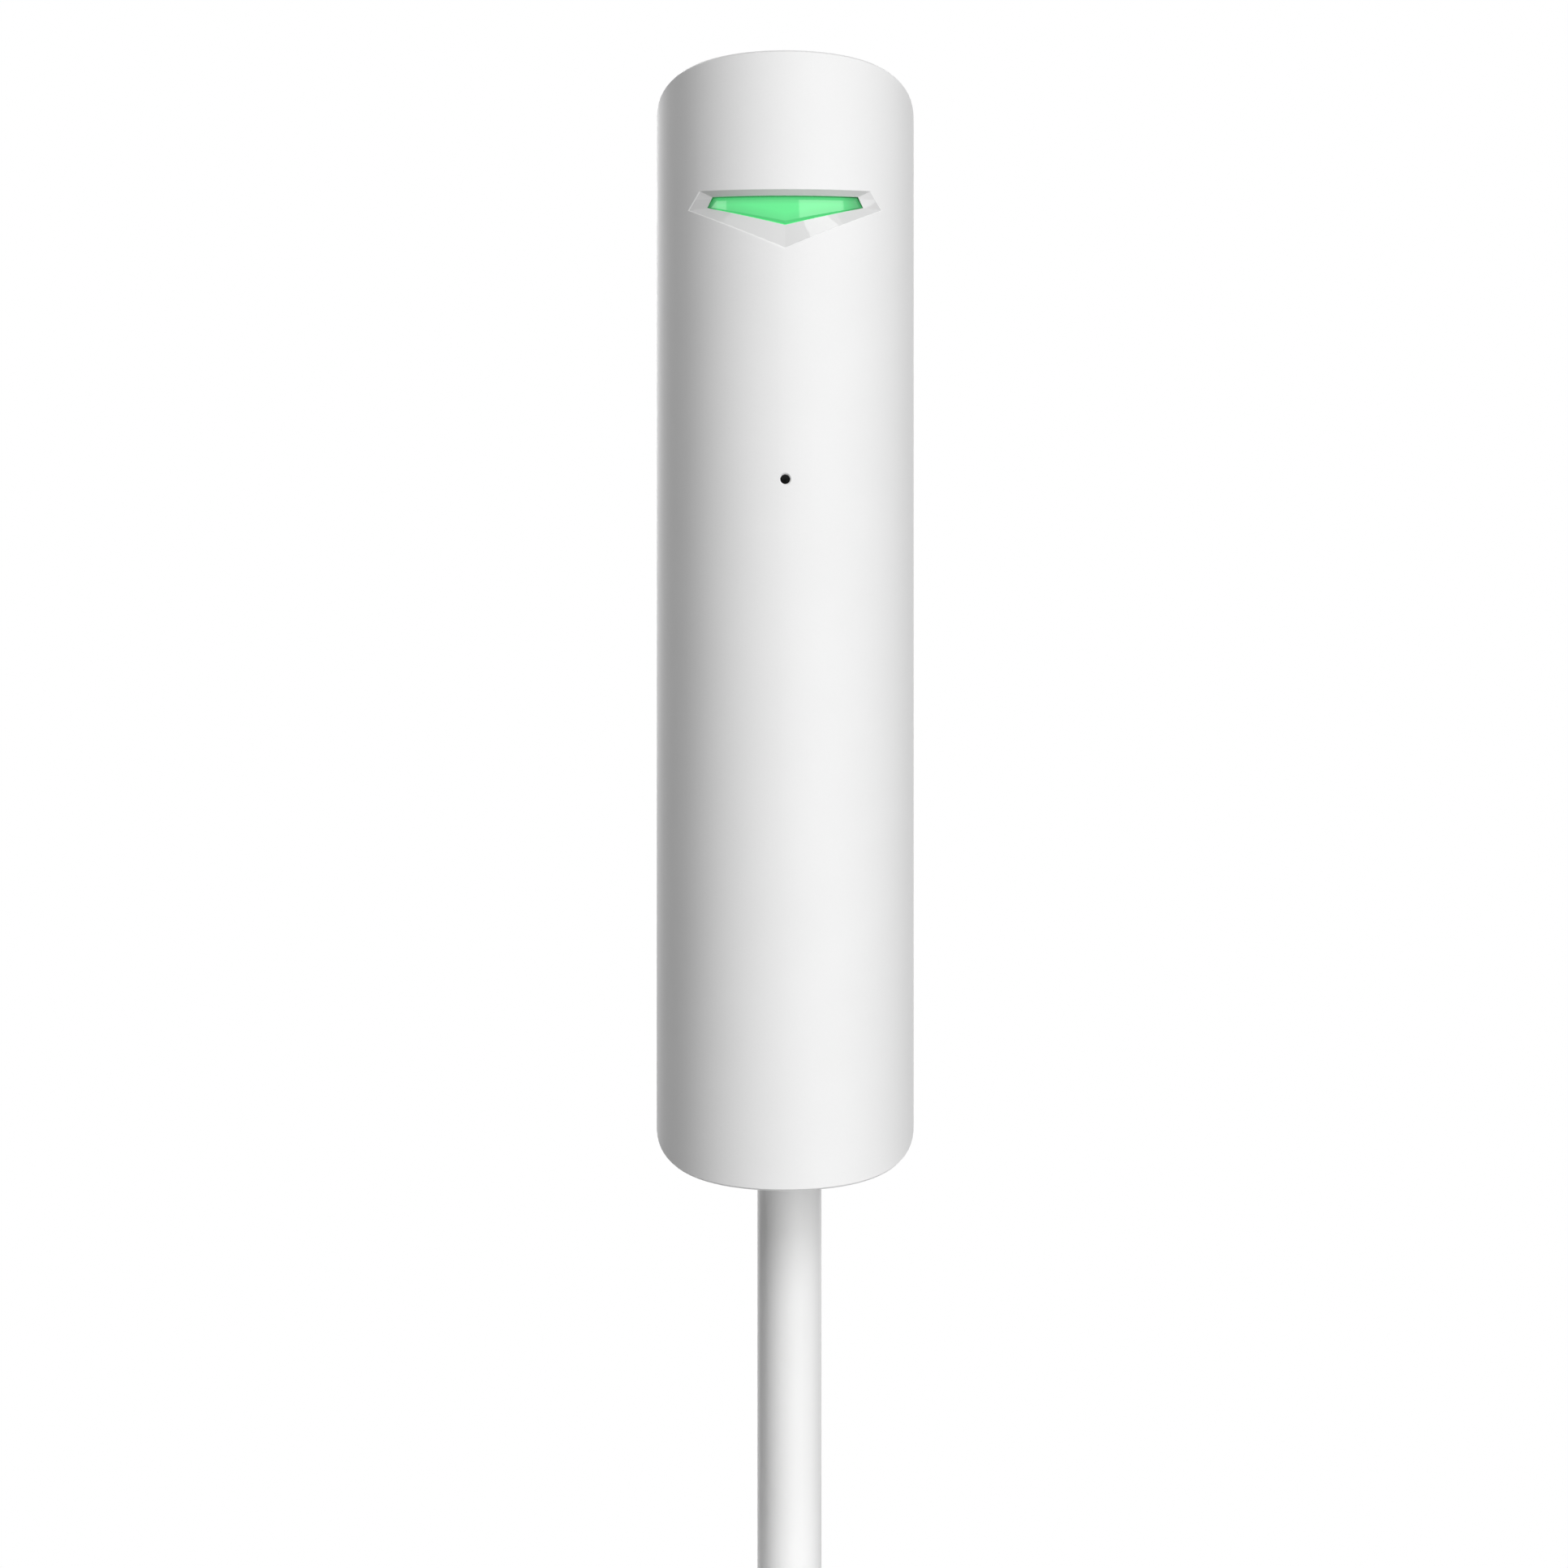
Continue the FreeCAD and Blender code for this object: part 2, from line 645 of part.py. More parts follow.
for name, height in (("upper", "upper_wall_hole"), ("lower", "lower_wall_hole")):
    plate_drills.append(rod(name + "_wall_hole", "wall_hole_radius", "0",
                            ("-plate_floor - wall_head_sink - margin", "margin"), height))
for name, height in (("upper", "upper_post"), ("lower", "lower_post")):
    plate_drills.append(rod(name + "_pilot", "screw_radius + fit_gap / 2", "-board_screw_side",
                            (BOARD_BACK + " - margin", BOARD_BACK + " + screw_length - board_thickness"),
                            height))
for name, side in (("left", "-"), ("right", "+")):
    plate_drills.append(rod(name + "_clamp_pilot", "screw_radius + fit_gap / 2",
                            "cable_side %s clamp_screw_side" % side,
                            ("-cable_from_wall - margin", CLAMP_SEAT + " + screw_length + fit_gap"),
                            "clamp_place"))
plate_drills.append(rod("tamper_way", "button_radius + 3 * button_slack", "0",
                        ("-plate_floor - margin", "margin"), "tamper_place"))
plate_drills.append(pillar("saddle_way", "cable_radius + cable_gap", "cable_side", "-cable_from_wall",
                           ("sleeve_top - margin", "clamp_place + clamp_height")))
plate_open = cut("plate_open", plate_full, fuse("plate_drills", *plate_drills))
back_plate = keep(cut("back_plate", plate_open, seam_edge), "back_plate")

# Light guide: a lens with a bevelled border, a straight body and a shoulder inside the cover
lens_radius = skin_radius - size("lens_sunk")
bevel = size("lens_bevel")
gap = size("lens_gap") / 2
lens_head = faceted_plug(lens_outline(-gap - bevel), lens_radius, lens_outline(-gap), lens_radius - bevel)
guide_stem = front_prism(lens_outline(-gap), front_plane, shoulder_plane)
stem_barrel = Part.makeCylinder(lens_radius - bevel, 2 * size("body_height"),
                                App.Vector(0, -size("axis_to_wall"), -size("body_height")))
stem_barrel.rotate(App.Vector(0, -size("axis_to_wall"), 0), App.Vector(0, 0, 1), 90)
shoulder_back = shoulder_plane + size("guide_shoulder")
guide_shoulder = front_prism(lens_outline(size("guide_shoulder_extra")), shoulder_plane, shoulder_back)
guide_foot = front_prism(lens_outline(-gap - size("guide_foot_inset")), shoulder_back,
                         -size("guide_end_from_wall"))
light_guide = keep(feature("light_guide", guide_stem.common(stem_barrel).fuse(
    [lens_head, guide_shoulder, guide_foot]).removeSplitter()), "light_guide")

# Sound path: mesh, rubber boot and the microphone capsule
MESH_BACK = "-(mic_boss_from_wall - mesh_thickness)"
dust_mesh = keep(rod("dust_mesh", "mesh_radius", "0", ("-mic_boss_from_wall", MESH_BACK), "mic_height"),
                 "dust_mesh")
CAPSULE_FRONT = "(board_from_wall + board_thickness + capsule_stand + capsule_length)"
BOOT_FRONT = "(mic_boss_from_wall - mesh_thickness)"
BOOT_BACK = "(board_from_wall + board_thickness)"
boot = turned("microphone_boot", [
    ("boot_channel", BOOT_FRONT), ("boot_radius - boot_bevel", BOOT_FRONT),
    ("boot_radius", BOOT_FRONT + " - boot_bevel"), ("boot_radius", BOOT_BACK),
    ("capsule_radius + cable_gap", BOOT_BACK), ("capsule_radius + cable_gap", CAPSULE_FRONT),
    ("boot_channel", CAPSULE_FRONT)], z="mic_height", turn=TURN_TO_FRONT)
keep(boot, "microphone_boot")
capsule_can = turned("capsule_can", [
    ("0", CAPSULE_FRONT + " - capsule_length"), ("capsule_radius", CAPSULE_FRONT + " - capsule_length"),
    ("capsule_radius", CAPSULE_FRONT + " - capsule_stand / 2"),
    ("capsule_radius - capsule_stand / 2", CAPSULE_FRONT),
    ("boot_channel", CAPSULE_FRONT), ("boot_channel", CAPSULE_FRONT + " - capsule_stand"),
    ("0", CAPSULE_FRONT + " - capsule_stand")], z="mic_height", turn=TURN_TO_FRONT)
pins = []
for number, side in enumerate(("-", ""), start=1):
    middle = side + "capsule_pin_spread"
    pins.append(block("capsule_pin_%d" % number,
                      (middle + " - capsule_pin_half", middle + " + capsule_pin_half"),
                      (BOARD_FRONT + " - capsule_stand - capsule_pin_half", BOARD_FRONT),
                      ("mic_height - capsule_pin_spread - capsule_pin_half",
                       "mic_height - capsule_pin_spread + capsule_pin_half")))
keep(fuse("microphone_capsule", capsule_can, *pins), "microphone_capsule")

# Circuit board with driver holes over both wall screws
board = doc.addObject("PartDesign::Body", "circuit_board")
board_sketch = attached_sketch(board, "board_outline", "XZ_Plane")
polygon(board_sketch, [
    ("-board_half + board_corner", "board_bottom"), ("board_half - board_corner", "board_bottom"),
    ("board_half", "board_bottom + board_corner"), ("board_half", "board_top - 2 * board_corner"),
    ("board_half - 2 * board_corner", "board_top"), ("-board_half + 2 * board_corner", "board_top"),
    ("-board_half", "board_top - 2 * board_corner"), ("-board_half", "board_bottom + board_corner")])
circle(board_sketch, "driver_hole_radius", "0", "upper_wall_hole")
circle(board_sketch, "driver_hole_radius", "0", "lower_wall_hole")
circle(board_sketch, "screw_hole_radius", "-board_screw_side", "upper_post")
circle(board_sketch, "screw_hole_radius", "-board_screw_side", "lower_post")
board_pad = board.newObject("PartDesign::Pad", "board_pad")
board_pad.Profile = board_sketch
bind(board_pad, Length="board_thickness")
place(board, y=BOARD_BACK)
keep(board, "circuit_board")


def screw(name, x, seat, z):
    """A small pan head screw driven towards the wall, its head on the seat."""
    shaft = turned(name + "_blank", [
        ("0", "-screw_length"), ("screw_radius", "-screw_length"), ("screw_radius", "0"),
        ("screw_head_radius", "0"), ("screw_head_radius", "screw_head_height - screw_head_bevel"),
        ("screw_head_radius - screw_head_bevel", "screw_head_height"), ("0", "screw_head_height")],
        x, seat, z, TURN_TO_FRONT)
    top = "(%s) - screw_head_height" % seat
    slots = []
    for way, half_x, half_z in (("across", "cross_reach", "cross_width / 2"),
                                ("upright", "cross_width / 2", "cross_reach")):
        slots.append(block(name + "_slot_" + way, ("(%s) - %s" % (x, half_x), "(%s) + %s" % (x, half_x)),
                           (top + " - fit_gap", top + " + cross_depth"),
                           ("(%s) - %s" % (z, half_z), "(%s) + %s" % (z, half_z))))
    return cut(name, shaft, fuse(name + "_cross", *slots))


group("board_screws", [screw("board_screw_1", "-board_screw_side", BOARD_FRONT, "upper_post"),
                       screw("board_screw_2", "-board_screw_side", BOARD_FRONT, "lower_post")])


def on_board(name, width, height, depth, x, z):
    return plate(name, rectangle(width, height, x, z), depth, y=BOARD_FRONT)


def legged_chip(name, width, height, depth, x, z, count, both_ways):
    """A flat package with a row of bent legs along two or four sides."""
    case = on_board(name + "_case", width, height, depth, x, z)
    legs = []
    pitch = "(%s - leg_reach) / %d" % (height, count)
    for number in range(count):
        shift = number - (count - 1) / 2
        step = "(%s) + (%g) * (%s)" % (z, shift, pitch)
        legs.append(on_board("%s_leg_%d" % (name, number), width + " + 2 * leg_reach", "leg_width",
                             "leg_height", x, step))
        if both_ways:
            step = "(%s) + (%g) * (%s)" % (x, shift, pitch)
            legs.append(on_board("%s_foot_%d" % (name, number), "leg_width", height + " + 2 * leg_reach",
                                 "leg_height", step, z))
    return keep(fuse(name, case, *legs), name)


legged_chip("processor_chip", "processor_width", "processor_width", "processor_depth",
            "processor_side", "processor_place", 6, True)
legged_chip("amplifier_chip", "amplifier_width", "amplifier_height", "amplifier_depth",
            "amplifier_side", "amplifier_place", 4, False)
relays = []
for name, side in (("left", "-relay_side"), ("right", "relay_side")):
    relays.append(on_board(name + "_relay", "relay_width", "relay_height", "relay_depth", side,
                           "relay_place"))
group("signal_relays", relays)

led_case = on_board("led_case", "led_width", "led_height", "led_case_depth", "0", "led_place")
led_lens = rod("led_lens", "led_dome", "0", (BOARD_FRONT + " - led_depth", BOARD_FRONT), "led_place")
keep(fuse("status_led", led_case, led_lens), "status_led")

FOOT = "(2 * capacitor_radius + capacitor_bevel)"
can = turned("capacitor_can", [
    ("0", "0"), ("capacitor_radius", "0"), ("capacitor_radius", "capacitor_length - capacitor_bevel"),
    ("capacitor_radius - capacitor_bevel", "capacitor_length"),
    ("0", "capacitor_length")], "capacitor_side", BOARD_FRONT, "capacitor_place", TURN_TO_FRONT)
base = on_board("capacitor_base", FOOT, FOOT, "capacitor_foot", "capacitor_side", "capacitor_place")
keep(fuse("storage_capacitor", can, base), "storage_capacitor")

choke_core = on_board("choke_core", "choke_width", "choke_width", "choke_depth", "choke_side", "choke_place")
choke_waist = cut("choke_waist", on_board("choke_blank", "choke_width + margin", "choke_width + margin",
                                          "choke_depth", "choke_side", "choke_place"),
                  rod("choke_drum", "choke_drum_radius", "choke_side",
                      (BOARD_FRONT + " - choke_depth - margin", BOARD_FRONT + " + margin"), "choke_place"))
choke_gap = slice_of("choke_gap", choke_waist, BOARD_FRONT + " - choke_depth + choke_flange",
                     BOARD_FRONT + " - choke_flange")
keep(cut("filter_choke", choke_core, choke_gap), "filter_choke")
keep(on_board("clock_crystal", "crystal_width", "crystal_height", "crystal_depth", "crystal_side",
              "crystal_place"), "clock_crystal")


def chip_row(node, first, count):
    parts = []
    for number in range(count):
        height = "%s + %d * chip_spacing * body_height / layout_height" % (first, number)
        parts.append(on_board("%s_%d" % (node, number + 1), "chip_width", "chip_height", "chip_depth",
                              "-chip_side", height))
    return group(node, parts)


chip_row("chip_resistors", "resistor_first", 5)
chip_row("chip_capacitors", "condenser_first", 3)

# Option header: two pins with a lift-off link over them
header_body = on_board("header_body", "header_width", "2 * header_pitch", "header_depth",
                       "header_side", "header_place")
pin_parts = []
for number, shift in enumerate(("-", "+"), start=1):
    pin_parts.append(on_board("header_pin_%d" % number, "pin_width", "pin_width", "pin_length",
                              "header_side", "header_place %s header_pitch / 2" % shift))
keep(fuse("option_header", header_body, *pin_parts), "option_header")
link_block = plate("link_block", rectangle("header_width", "2 * header_pitch - fit_gap", "header_side",
                                           "header_place"), "link_depth", y=BOARD_FRONT + " - header_depth")
link_holes = []
PIN_HOLE_HALF = "(pin_width / 2 + cable_gap)"
for number, shift in enumerate(("-", "+"), start=1):
    middle = "header_place %s header_pitch / 2" % shift
    link_holes.append(block("link_hole_%d" % number,
                            ("header_side - " + PIN_HOLE_HALF, "header_side + " + PIN_HOLE_HALF),
                            (BOARD_FRONT + " - pin_length - cable_gap", BOARD_FRONT),
                            (middle + " - " + PIN_HOLE_HALF, middle + " + " + PIN_HOLE_HALF)))
keep(cut("option_link", link_block, fuse("link_holes", *link_holes)), "option_link")

# Tamper switch: a case behind the board and a button that bears on the wall
switch_case = block("switch_case", ("-switch_width / 2", "switch_width / 2"), (BOARD_BACK, SWITCH_END),
                    ("tamper_place - switch_width / 2", "tamper_place + switch_width / 2"))
switch_bore = rod("switch_bore", "button_radius + button_slack", "0",
                  (BOARD_BACK + " + button_end_room", SWITCH_END + " + margin"), "tamper_place")
COLLAR_REST = SWITCH_END + " - 3 * fit_gap"
collar_room = rod("collar_room", "button_collar_radius + button_slack", "0",
                  (COLLAR_REST + " - button_collar - button_travel - fit_gap", COLLAR_REST + " + fit_gap"),
                  "tamper_place")
keep(cut("tamper_switch", switch_case, fuse("switch_hollow", switch_bore, collar_room)), "tamper_switch")
button_stem = rod("button_stem", "button_radius", "0",
                  (COLLAR_REST + " - button_collar / 2", "0"), "tamper_place")
button_collar = rod("button_collar", "button_collar_radius", "0",
                    (COLLAR_REST + " - button_collar", COLLAR_REST), "tamper_place")
keep(fuse("tamper_button", button_stem, button_collar), "tamper_button")

# Cable sleeve in the lower end, clamp and its screws
sleeve = turned("cable_sleeve", [
    ("cable_radius + cable_gap", "sleeve_bottom"), ("sleeve_radius - sleeve_round", "sleeve_bottom"),
    ("sleeve_radius", "sleeve_bottom + sleeve_round"), ("sleeve_radius", "sleeve_top"),
    ("cable_radius + cable_gap", "sleeve_top")], "cable_side", "-cable_from_wall")
keep(sleeve, "cable_sleeve")
CLAMP_TOP = "-(cable_from_wall + cable_radius + clamp_step)"
clamp_bar = block("clamp_bar", ("cable_side - clamp_half", "cable_side + clamp_half"),
                  (CLAMP_TOP, "-cable_from_wall"),
                  ("clamp_place - clamp_height / 2", "clamp_place + clamp_height / 2"))
clamp_cuts = [pillar("clamp_way", "cable_radius + cable_gap", "cable_side", "-cable_from_wall",
                     ("clamp_place - clamp_height", "clamp_place + clamp_height"))]
for name, side in (("left", "-"), ("right", "+")):
    middle = "cable_side %s clamp_screw_side" % side
    clamp_cuts.append(rod(name + "_clamp_hole", "screw_hole_radius", middle,
                          (CLAMP_TOP + " - margin", "margin"), "clamp_place"))
    edge = ("cable_side - clamp_half - margin", middle + " + screw_head_radius + fit_gap")
    if side == "+":
        edge = (middle + " - screw_head_radius - fit_gap", "cable_side + clamp_half + margin")
    clamp_cuts.append(block(name + "_clamp_step", edge, (CLAMP_TOP + " - margin", CLAMP_SEAT),
                            ("clamp_place - clamp_height", "clamp_place + clamp_height")))
keep(cut("cable_clamp", clamp_bar, fuse("clamp_cuts", *clamp_cuts)), "cable_clamp")
group("clamp_screws", [
    screw("clamp_screw_1", "cable_side - clamp_screw_side", CLAMP_SEAT, "clamp_place"),
    screw("clamp_screw_2", "cable_side + clamp_screw_side", CLAMP_SEAT, "clamp_place")])


def core(name, points, radius):
    """A thin insulated core: a six-sided bar along its runs, mitred where it turns."""
    heading = (points[1] - points[0]).normalize()
    side = heading.cross(App.Vector(0, 1, 0)).normalize()
    turns = [App.Rotation(heading, 60 * corner) for corner in range(6)]
    ring = [points[0] + turn.multVec(side) * radius for turn in turns]
    solid = Part.makePolygon(points).makePipeShell([Part.makePolygon(ring + ring[:1])], True, False, 1)
    return feature(name, solid)


# Lead: one straight stretch from the clamp through the sleeve to the hank
cable_x, cable_y = size("cable_side"), -size("cable_from_wall")
cable_radius = size("cable_radius")
keep(pillar("lead_cable", "cable_radius", "cable_side", "-cable_from_wall",
            ("cable_hank_top", "cable_start")), "lead_cable")

# Six cores fan from the jacket's end up to a row of pads
core_count = 6
core_radius = size("core_radius")
lift = size("board_from_wall") + size("board_thickness") + core_radius
across = sorted(range(core_count), key=lambda core: -math.cos(2 * math.pi * (core + 0.5) / core_count))
inner_cores = []
for number in range(core_count):
    turn = 2 * math.pi * (number + 0.5) / core_count
    out = App.Vector(cable_x - size("core_ring") * math.cos(turn),
                     cable_y - size("core_ring") * math.sin(turn), size("cable_start"))
    order = across.index(number)
    pad_x = (order - (core_count - 1) / 2) * size("pad_pitch")
    route = [out, out + App.Vector(0, 0, core_radius),
             App.Vector(pad_x, -lift - core_radius, size("board_bottom") - 2 * core_radius),
             App.Vector(pad_x, -lift, size("pad_place"))]
    inner_cores.append(core("inner_core_%d" % (number + 1), route, core_radius))
group("inner_cores", inner_cores)

# Put-away hank: a flat ring of layers hanging below, with a tie round each side
layers = size("hank_layers")
fold = size("hank_fold_radius")
run = size("hank_run")
hank_top = size("cable_hank_top")
hank_back = cable_y + cable_radius


def stadium(half_width, straight, top_z, y):
    """A closed outline of two straight runs and two round folds."""
    high = App.Vector(cable_x, y, top_z - half_width)
    low = high - App.Vector(0, 0, straight)
    side = App.Vector(half_width, 0, 0)
    up = App.Vector(0, 0, half_width)
    return Part.Wire([Part.Arc(high - side, high + up, high + side).toShape(),
                      Part.LineSegment(high + side, low + side).toShape(),
                      Part.Arc(low + side, low - up, low - side).toShape(),
                      Part.LineSegment(low - side, high - side).toShape()])


hank_depth = App.Vector(0, -layers * 2 * cable_radius, 0)
hank_outside = Part.Face(stadium(fold + cable_radius, run, hank_top, hank_back)).extrude(hank_depth)
hank_inside = Part.Face(stadium(fold - cable_radius, run, hank_top - 2 * cable_radius, hank_back)
                        ).extrude(hank_depth)
keep(feature("lead_hank", hank_outside.cut(hank_inside)), "lead_hank")


def tie(name, side, first_layer, last_layer):
    """A strap round one side of the hank."""
    slack, strap = size("cable_gap"), size("tie_thickness")
    back = hank_back - first_layer * 2 * cable_radius + slack
    front = hank_back - (last_layer + 1) * 2 * cable_radius - slack
    middle = cable_x + side * fold
    half = cable_radius + slack
    low = size("tie_place") - size("tie_width") / 2
    inside = Part.makeBox(2 * half, back - front, size("tie_width"), App.Vector(middle - half, front, low))
    outside = Part.makeBox(2 * (half + strap), back - front + 2 * strap, size("tie_width"),
                           App.Vector(middle - half - strap, front - strap, low))
    corners = [edge for edge in outside.Edges if edge.BoundBox.ZLength > size("tie_width") / 2]
    return feature(name, outside.makeChamfer(strap * 0.6, corners).cut(inside))


group("hank_ties", [tie("right_tie", 1, 0, layers - 1), tie("left_tie", -1, 0, layers - 1)])

# The last run leaves the hank downwards; its cores fan out and end in bare tips
tail_y = hank_back - (layers - 0.5) * 2 * cable_radius
tail_x = cable_x + fold
tail_top = hank_top - cable_radius - fold - run
tail_end = tail_top - size("tail_length")
tail = Part.makeCylinder(cable_radius, tail_top - cable_radius - tail_end,
                         App.Vector(tail_x, tail_y, tail_end))
keep(feature("lead_tail", tail.cut(hank_outside)), "lead_tail")
tail_cores, core_tips = [], []
for number in range(core_count):
    turn = 2 * math.pi * (number + 0.5) / core_count
    away = App.Vector(math.cos(turn), math.sin(turn), 0)
    start = App.Vector(tail_x, tail_y, tail_end) + away * size("core_ring")
    spread = away * (size("tail_spread") + size("tail_spread_step") * (number % 3))
    drop = App.Vector(0, 0, -size("tail_core_length") / 3)
    route = [start, start + drop, start + drop * 2 + spread, start + drop * 3 + spread * 1.7]
    tail_cores.append(core("tail_core_%d" % (number + 1), route, core_radius))
    heading = (route[-1] - route[-2]).normalize()
    core_tips.append(core("core_tip_%d" % (number + 1), [
        route[-1], route[-1] + heading * size("tip_length")], size("tip_radius")))
group("tail_cores", tail_cores)
group("core_tips", core_tips)

doc.recompute()

failed = [item.Name for item in doc.Objects if "Invalid" in item.State or "Error" in item.State]
if failed:
    raise RuntimeError("objects failed: " + ", ".join(failed))
for item in nodes:
    if item.Shape.isNull() or not item.Shape.isValid() or not item.Shape.Solids:
        raise RuntimeError("bad shape: " + item.Label)

os.makedirs("parts", exist_ok=True)
for item in nodes:
    item.Shape.exportStep("parts/%s.step" % item.Label)
    print("%-20s solids %d volume %.2f" % (item.Label, len(item.Shape.Solids), item.Shape.Volume))
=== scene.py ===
import json
import math

import bmesh
import bpy
from mathutils import Matrix, Vector


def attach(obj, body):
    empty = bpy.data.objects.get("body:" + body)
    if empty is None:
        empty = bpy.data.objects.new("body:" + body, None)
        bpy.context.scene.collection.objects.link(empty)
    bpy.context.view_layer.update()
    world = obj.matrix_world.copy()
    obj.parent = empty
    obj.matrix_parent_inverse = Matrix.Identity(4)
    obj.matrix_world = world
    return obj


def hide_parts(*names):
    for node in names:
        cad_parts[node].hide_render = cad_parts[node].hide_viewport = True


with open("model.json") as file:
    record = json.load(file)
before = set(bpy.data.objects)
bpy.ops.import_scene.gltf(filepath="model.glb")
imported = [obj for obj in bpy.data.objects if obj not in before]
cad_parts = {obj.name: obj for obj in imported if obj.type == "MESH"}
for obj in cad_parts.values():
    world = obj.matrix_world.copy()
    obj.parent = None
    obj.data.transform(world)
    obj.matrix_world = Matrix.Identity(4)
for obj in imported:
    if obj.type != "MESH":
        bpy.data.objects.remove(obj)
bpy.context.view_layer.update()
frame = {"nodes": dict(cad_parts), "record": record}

scene = bpy.context.scene
scene.view_settings.view_transform = "Standard"
record = frame["record"]
nodes = frame["nodes"]
print("frame loaded:", len(nodes), "nodes")

# the camera, level and at the photo's angle
view = {
    "lens": 206.6,
    "sensor": 36,
    "nearest": 0.01,
    "upright": 90,
    "place": (-0.0000927, -0.7215, -0.01279),
}


def placeCamera():
    data = bpy.data.cameras.new("viewCamera")
    data.lens = view["lens"]
    data.sensor_width = view["sensor"]
    data.clip_start = view["nearest"]
    eye = bpy.data.objects.new("viewCamera", data)
    eye.location = view["place"]
    eye.rotation_euler = (math.radians(view["upright"]), 0, 0)
    scene.collection.objects.link(eye)
    scene.camera = eye


placeCamera()
print("camera placed")

# the lead: a straight stretch, then layers of turns that climb one layer on each left run
lead = {
    "radius": 0.00255,
    "side": 0.00034,
    "fromWall": 0.0046,
    "start": -0.0246,
    "straight": (-0.040, -0.057, -0.072, -0.079),
    "across": ((0, -0.0885), (0.5, -0.0995), (1, -0.1105), (1, -0.124), (1, -0.150)),
    "hankTop": -0.0785,
    "foldRadius": 0.0156,
    "run": 0.083,
    "climb": (0.26, 0.74),
    "turns": 3,
    "foldPoints": 12,
    "tail": 0.024,
    "length": 0.974,
    "roundness": 5,
    "steps": 6,
}


def addSpline(curve, points):
    # quadratic, held at both ends
    spline = curve.splines.new("NURBS")
    spline.points.add(len(points) - 1)
    for control, point in zip(spline.points, points):
        control.co = (*point, 1)
    spline.order_u = 3
    spline.use_endpoint_u = True


def newCurve(name, radius, roundness, steps):
    curve = bpy.data.curves.new(name, "CURVE")
    curve.dimensions = "3D"
    curve.bevel_depth = radius
    curve.bevel_resolution = roundness
    curve.resolution_u = steps
    curve.use_fill_caps = True
    piece = bpy.data.objects.new(name, curve)
    scene.collection.objects.link(piece)
    return piece


def leadPoints():
    x, gap = lead["side"], 2 * lead["radius"]
    fold, step = lead["foldRadius"], math.pi / lead["foldPoints"]
    # the points of a fold stand a little outside the circle that its curve follows
    reach = fold / math.cos(step / 2)
    high = lead["hankTop"] - lead["radius"] - fold
    low = high - lead["run"]

    def layer(number):
        return -lead["fromWall"] - gap * number

    points = [(x, layer(0), height) for height in (lead["start"], *lead["straight"])]
    # over to the hank's right side in its rear layer
    points += [(x + share * fold, layer(0), height) for share, height in lead["across"]]
    for turn in range(lead["turns"]):
        for count in range(lead["foldPoints"]):
            angle = -(count + 0.5) * step
            points.append((x + reach * math.cos(angle), layer(turn),
                           low + reach * math.sin(angle)))
        # the left run climbs to the next layer on its way up
        for share, place in zip(lead["climb"], (turn, turn + 1)):
            points.append((x - fold, layer(place), low + share * lead["run"]))
        for count in range(lead["foldPoints"]):
            angle = math.pi - (count + 0.5) * step
            points.append((x + reach * math.cos(angle), layer(turn + 1),
                           high + reach * math.sin(angle)))
        points.append((x + fold, layer(turn + 1), (high + low) / 2))
    points.append((x + fold, layer(lead["turns"]), low - lead["tail"]))
    return points


leadPiece = newCurve("leadCord", lead["radius"], lead["roundness"], lead["steps"])
addSpline(leadPiece.data, leadPoints())
print("lead laid:", len(leadPiece.data.splines[0].points), "points")

# the bared end: six cores that fan out, each with a twist of fine strands at its tip
bareEnd = {
    "cores": 6,
    "coreRadius": 0.0005,
    "coreDetail": (3, 8),
    "ring": 0.00145,
    "inside": 0.002,
    "length": 0.018,
    "spread": 0.0016,
    "spreadStep": 0.0005,
    "splay": 1.7,
    "tipLength": 0.005,
    "tipInside": 0.0002,
    "strandRadius": 0.0001,
    "strandDetail": (1, 3),
    "strandRing": 0.00019,
    "outerStrands": 6,
    "twist": 1.5,
    "twistSteps": 8,
}


def tailRoutes():
    # the control points of each core, from just inside the jacket to its bare tip
    low = lead["hankTop"] - lead["radius"] - lead["foldRadius"] - lead["run"] - lead["tail"]
    end = Vector((lead["side"] + lead["foldRadius"],
                  -lead["fromWall"] - 2 * lead["radius"] * lead["turns"], low))
    # three equal drops, and each third core spreads alike
    drop = Vector((0, 0, -bareEnd["length"] / 3))
    routes = []
    for number in range(bareEnd["cores"]):
        turn = 2 * math.pi * (number + 0.5) / bareEnd["cores"]
        away = Vector((math.cos(turn), math.sin(turn), 0))
        spread = away * (bareEnd["spread"] + bareEnd["spreadStep"] * (number % 3))
        start = end + away * bareEnd["ring"]
        routes.append([start + Vector((0, 0, bareEnd["inside"])), start, start + drop,
                       start + drop * 2 + spread, start + drop * 3 + spread * bareEnd["splay"]])
    return routes


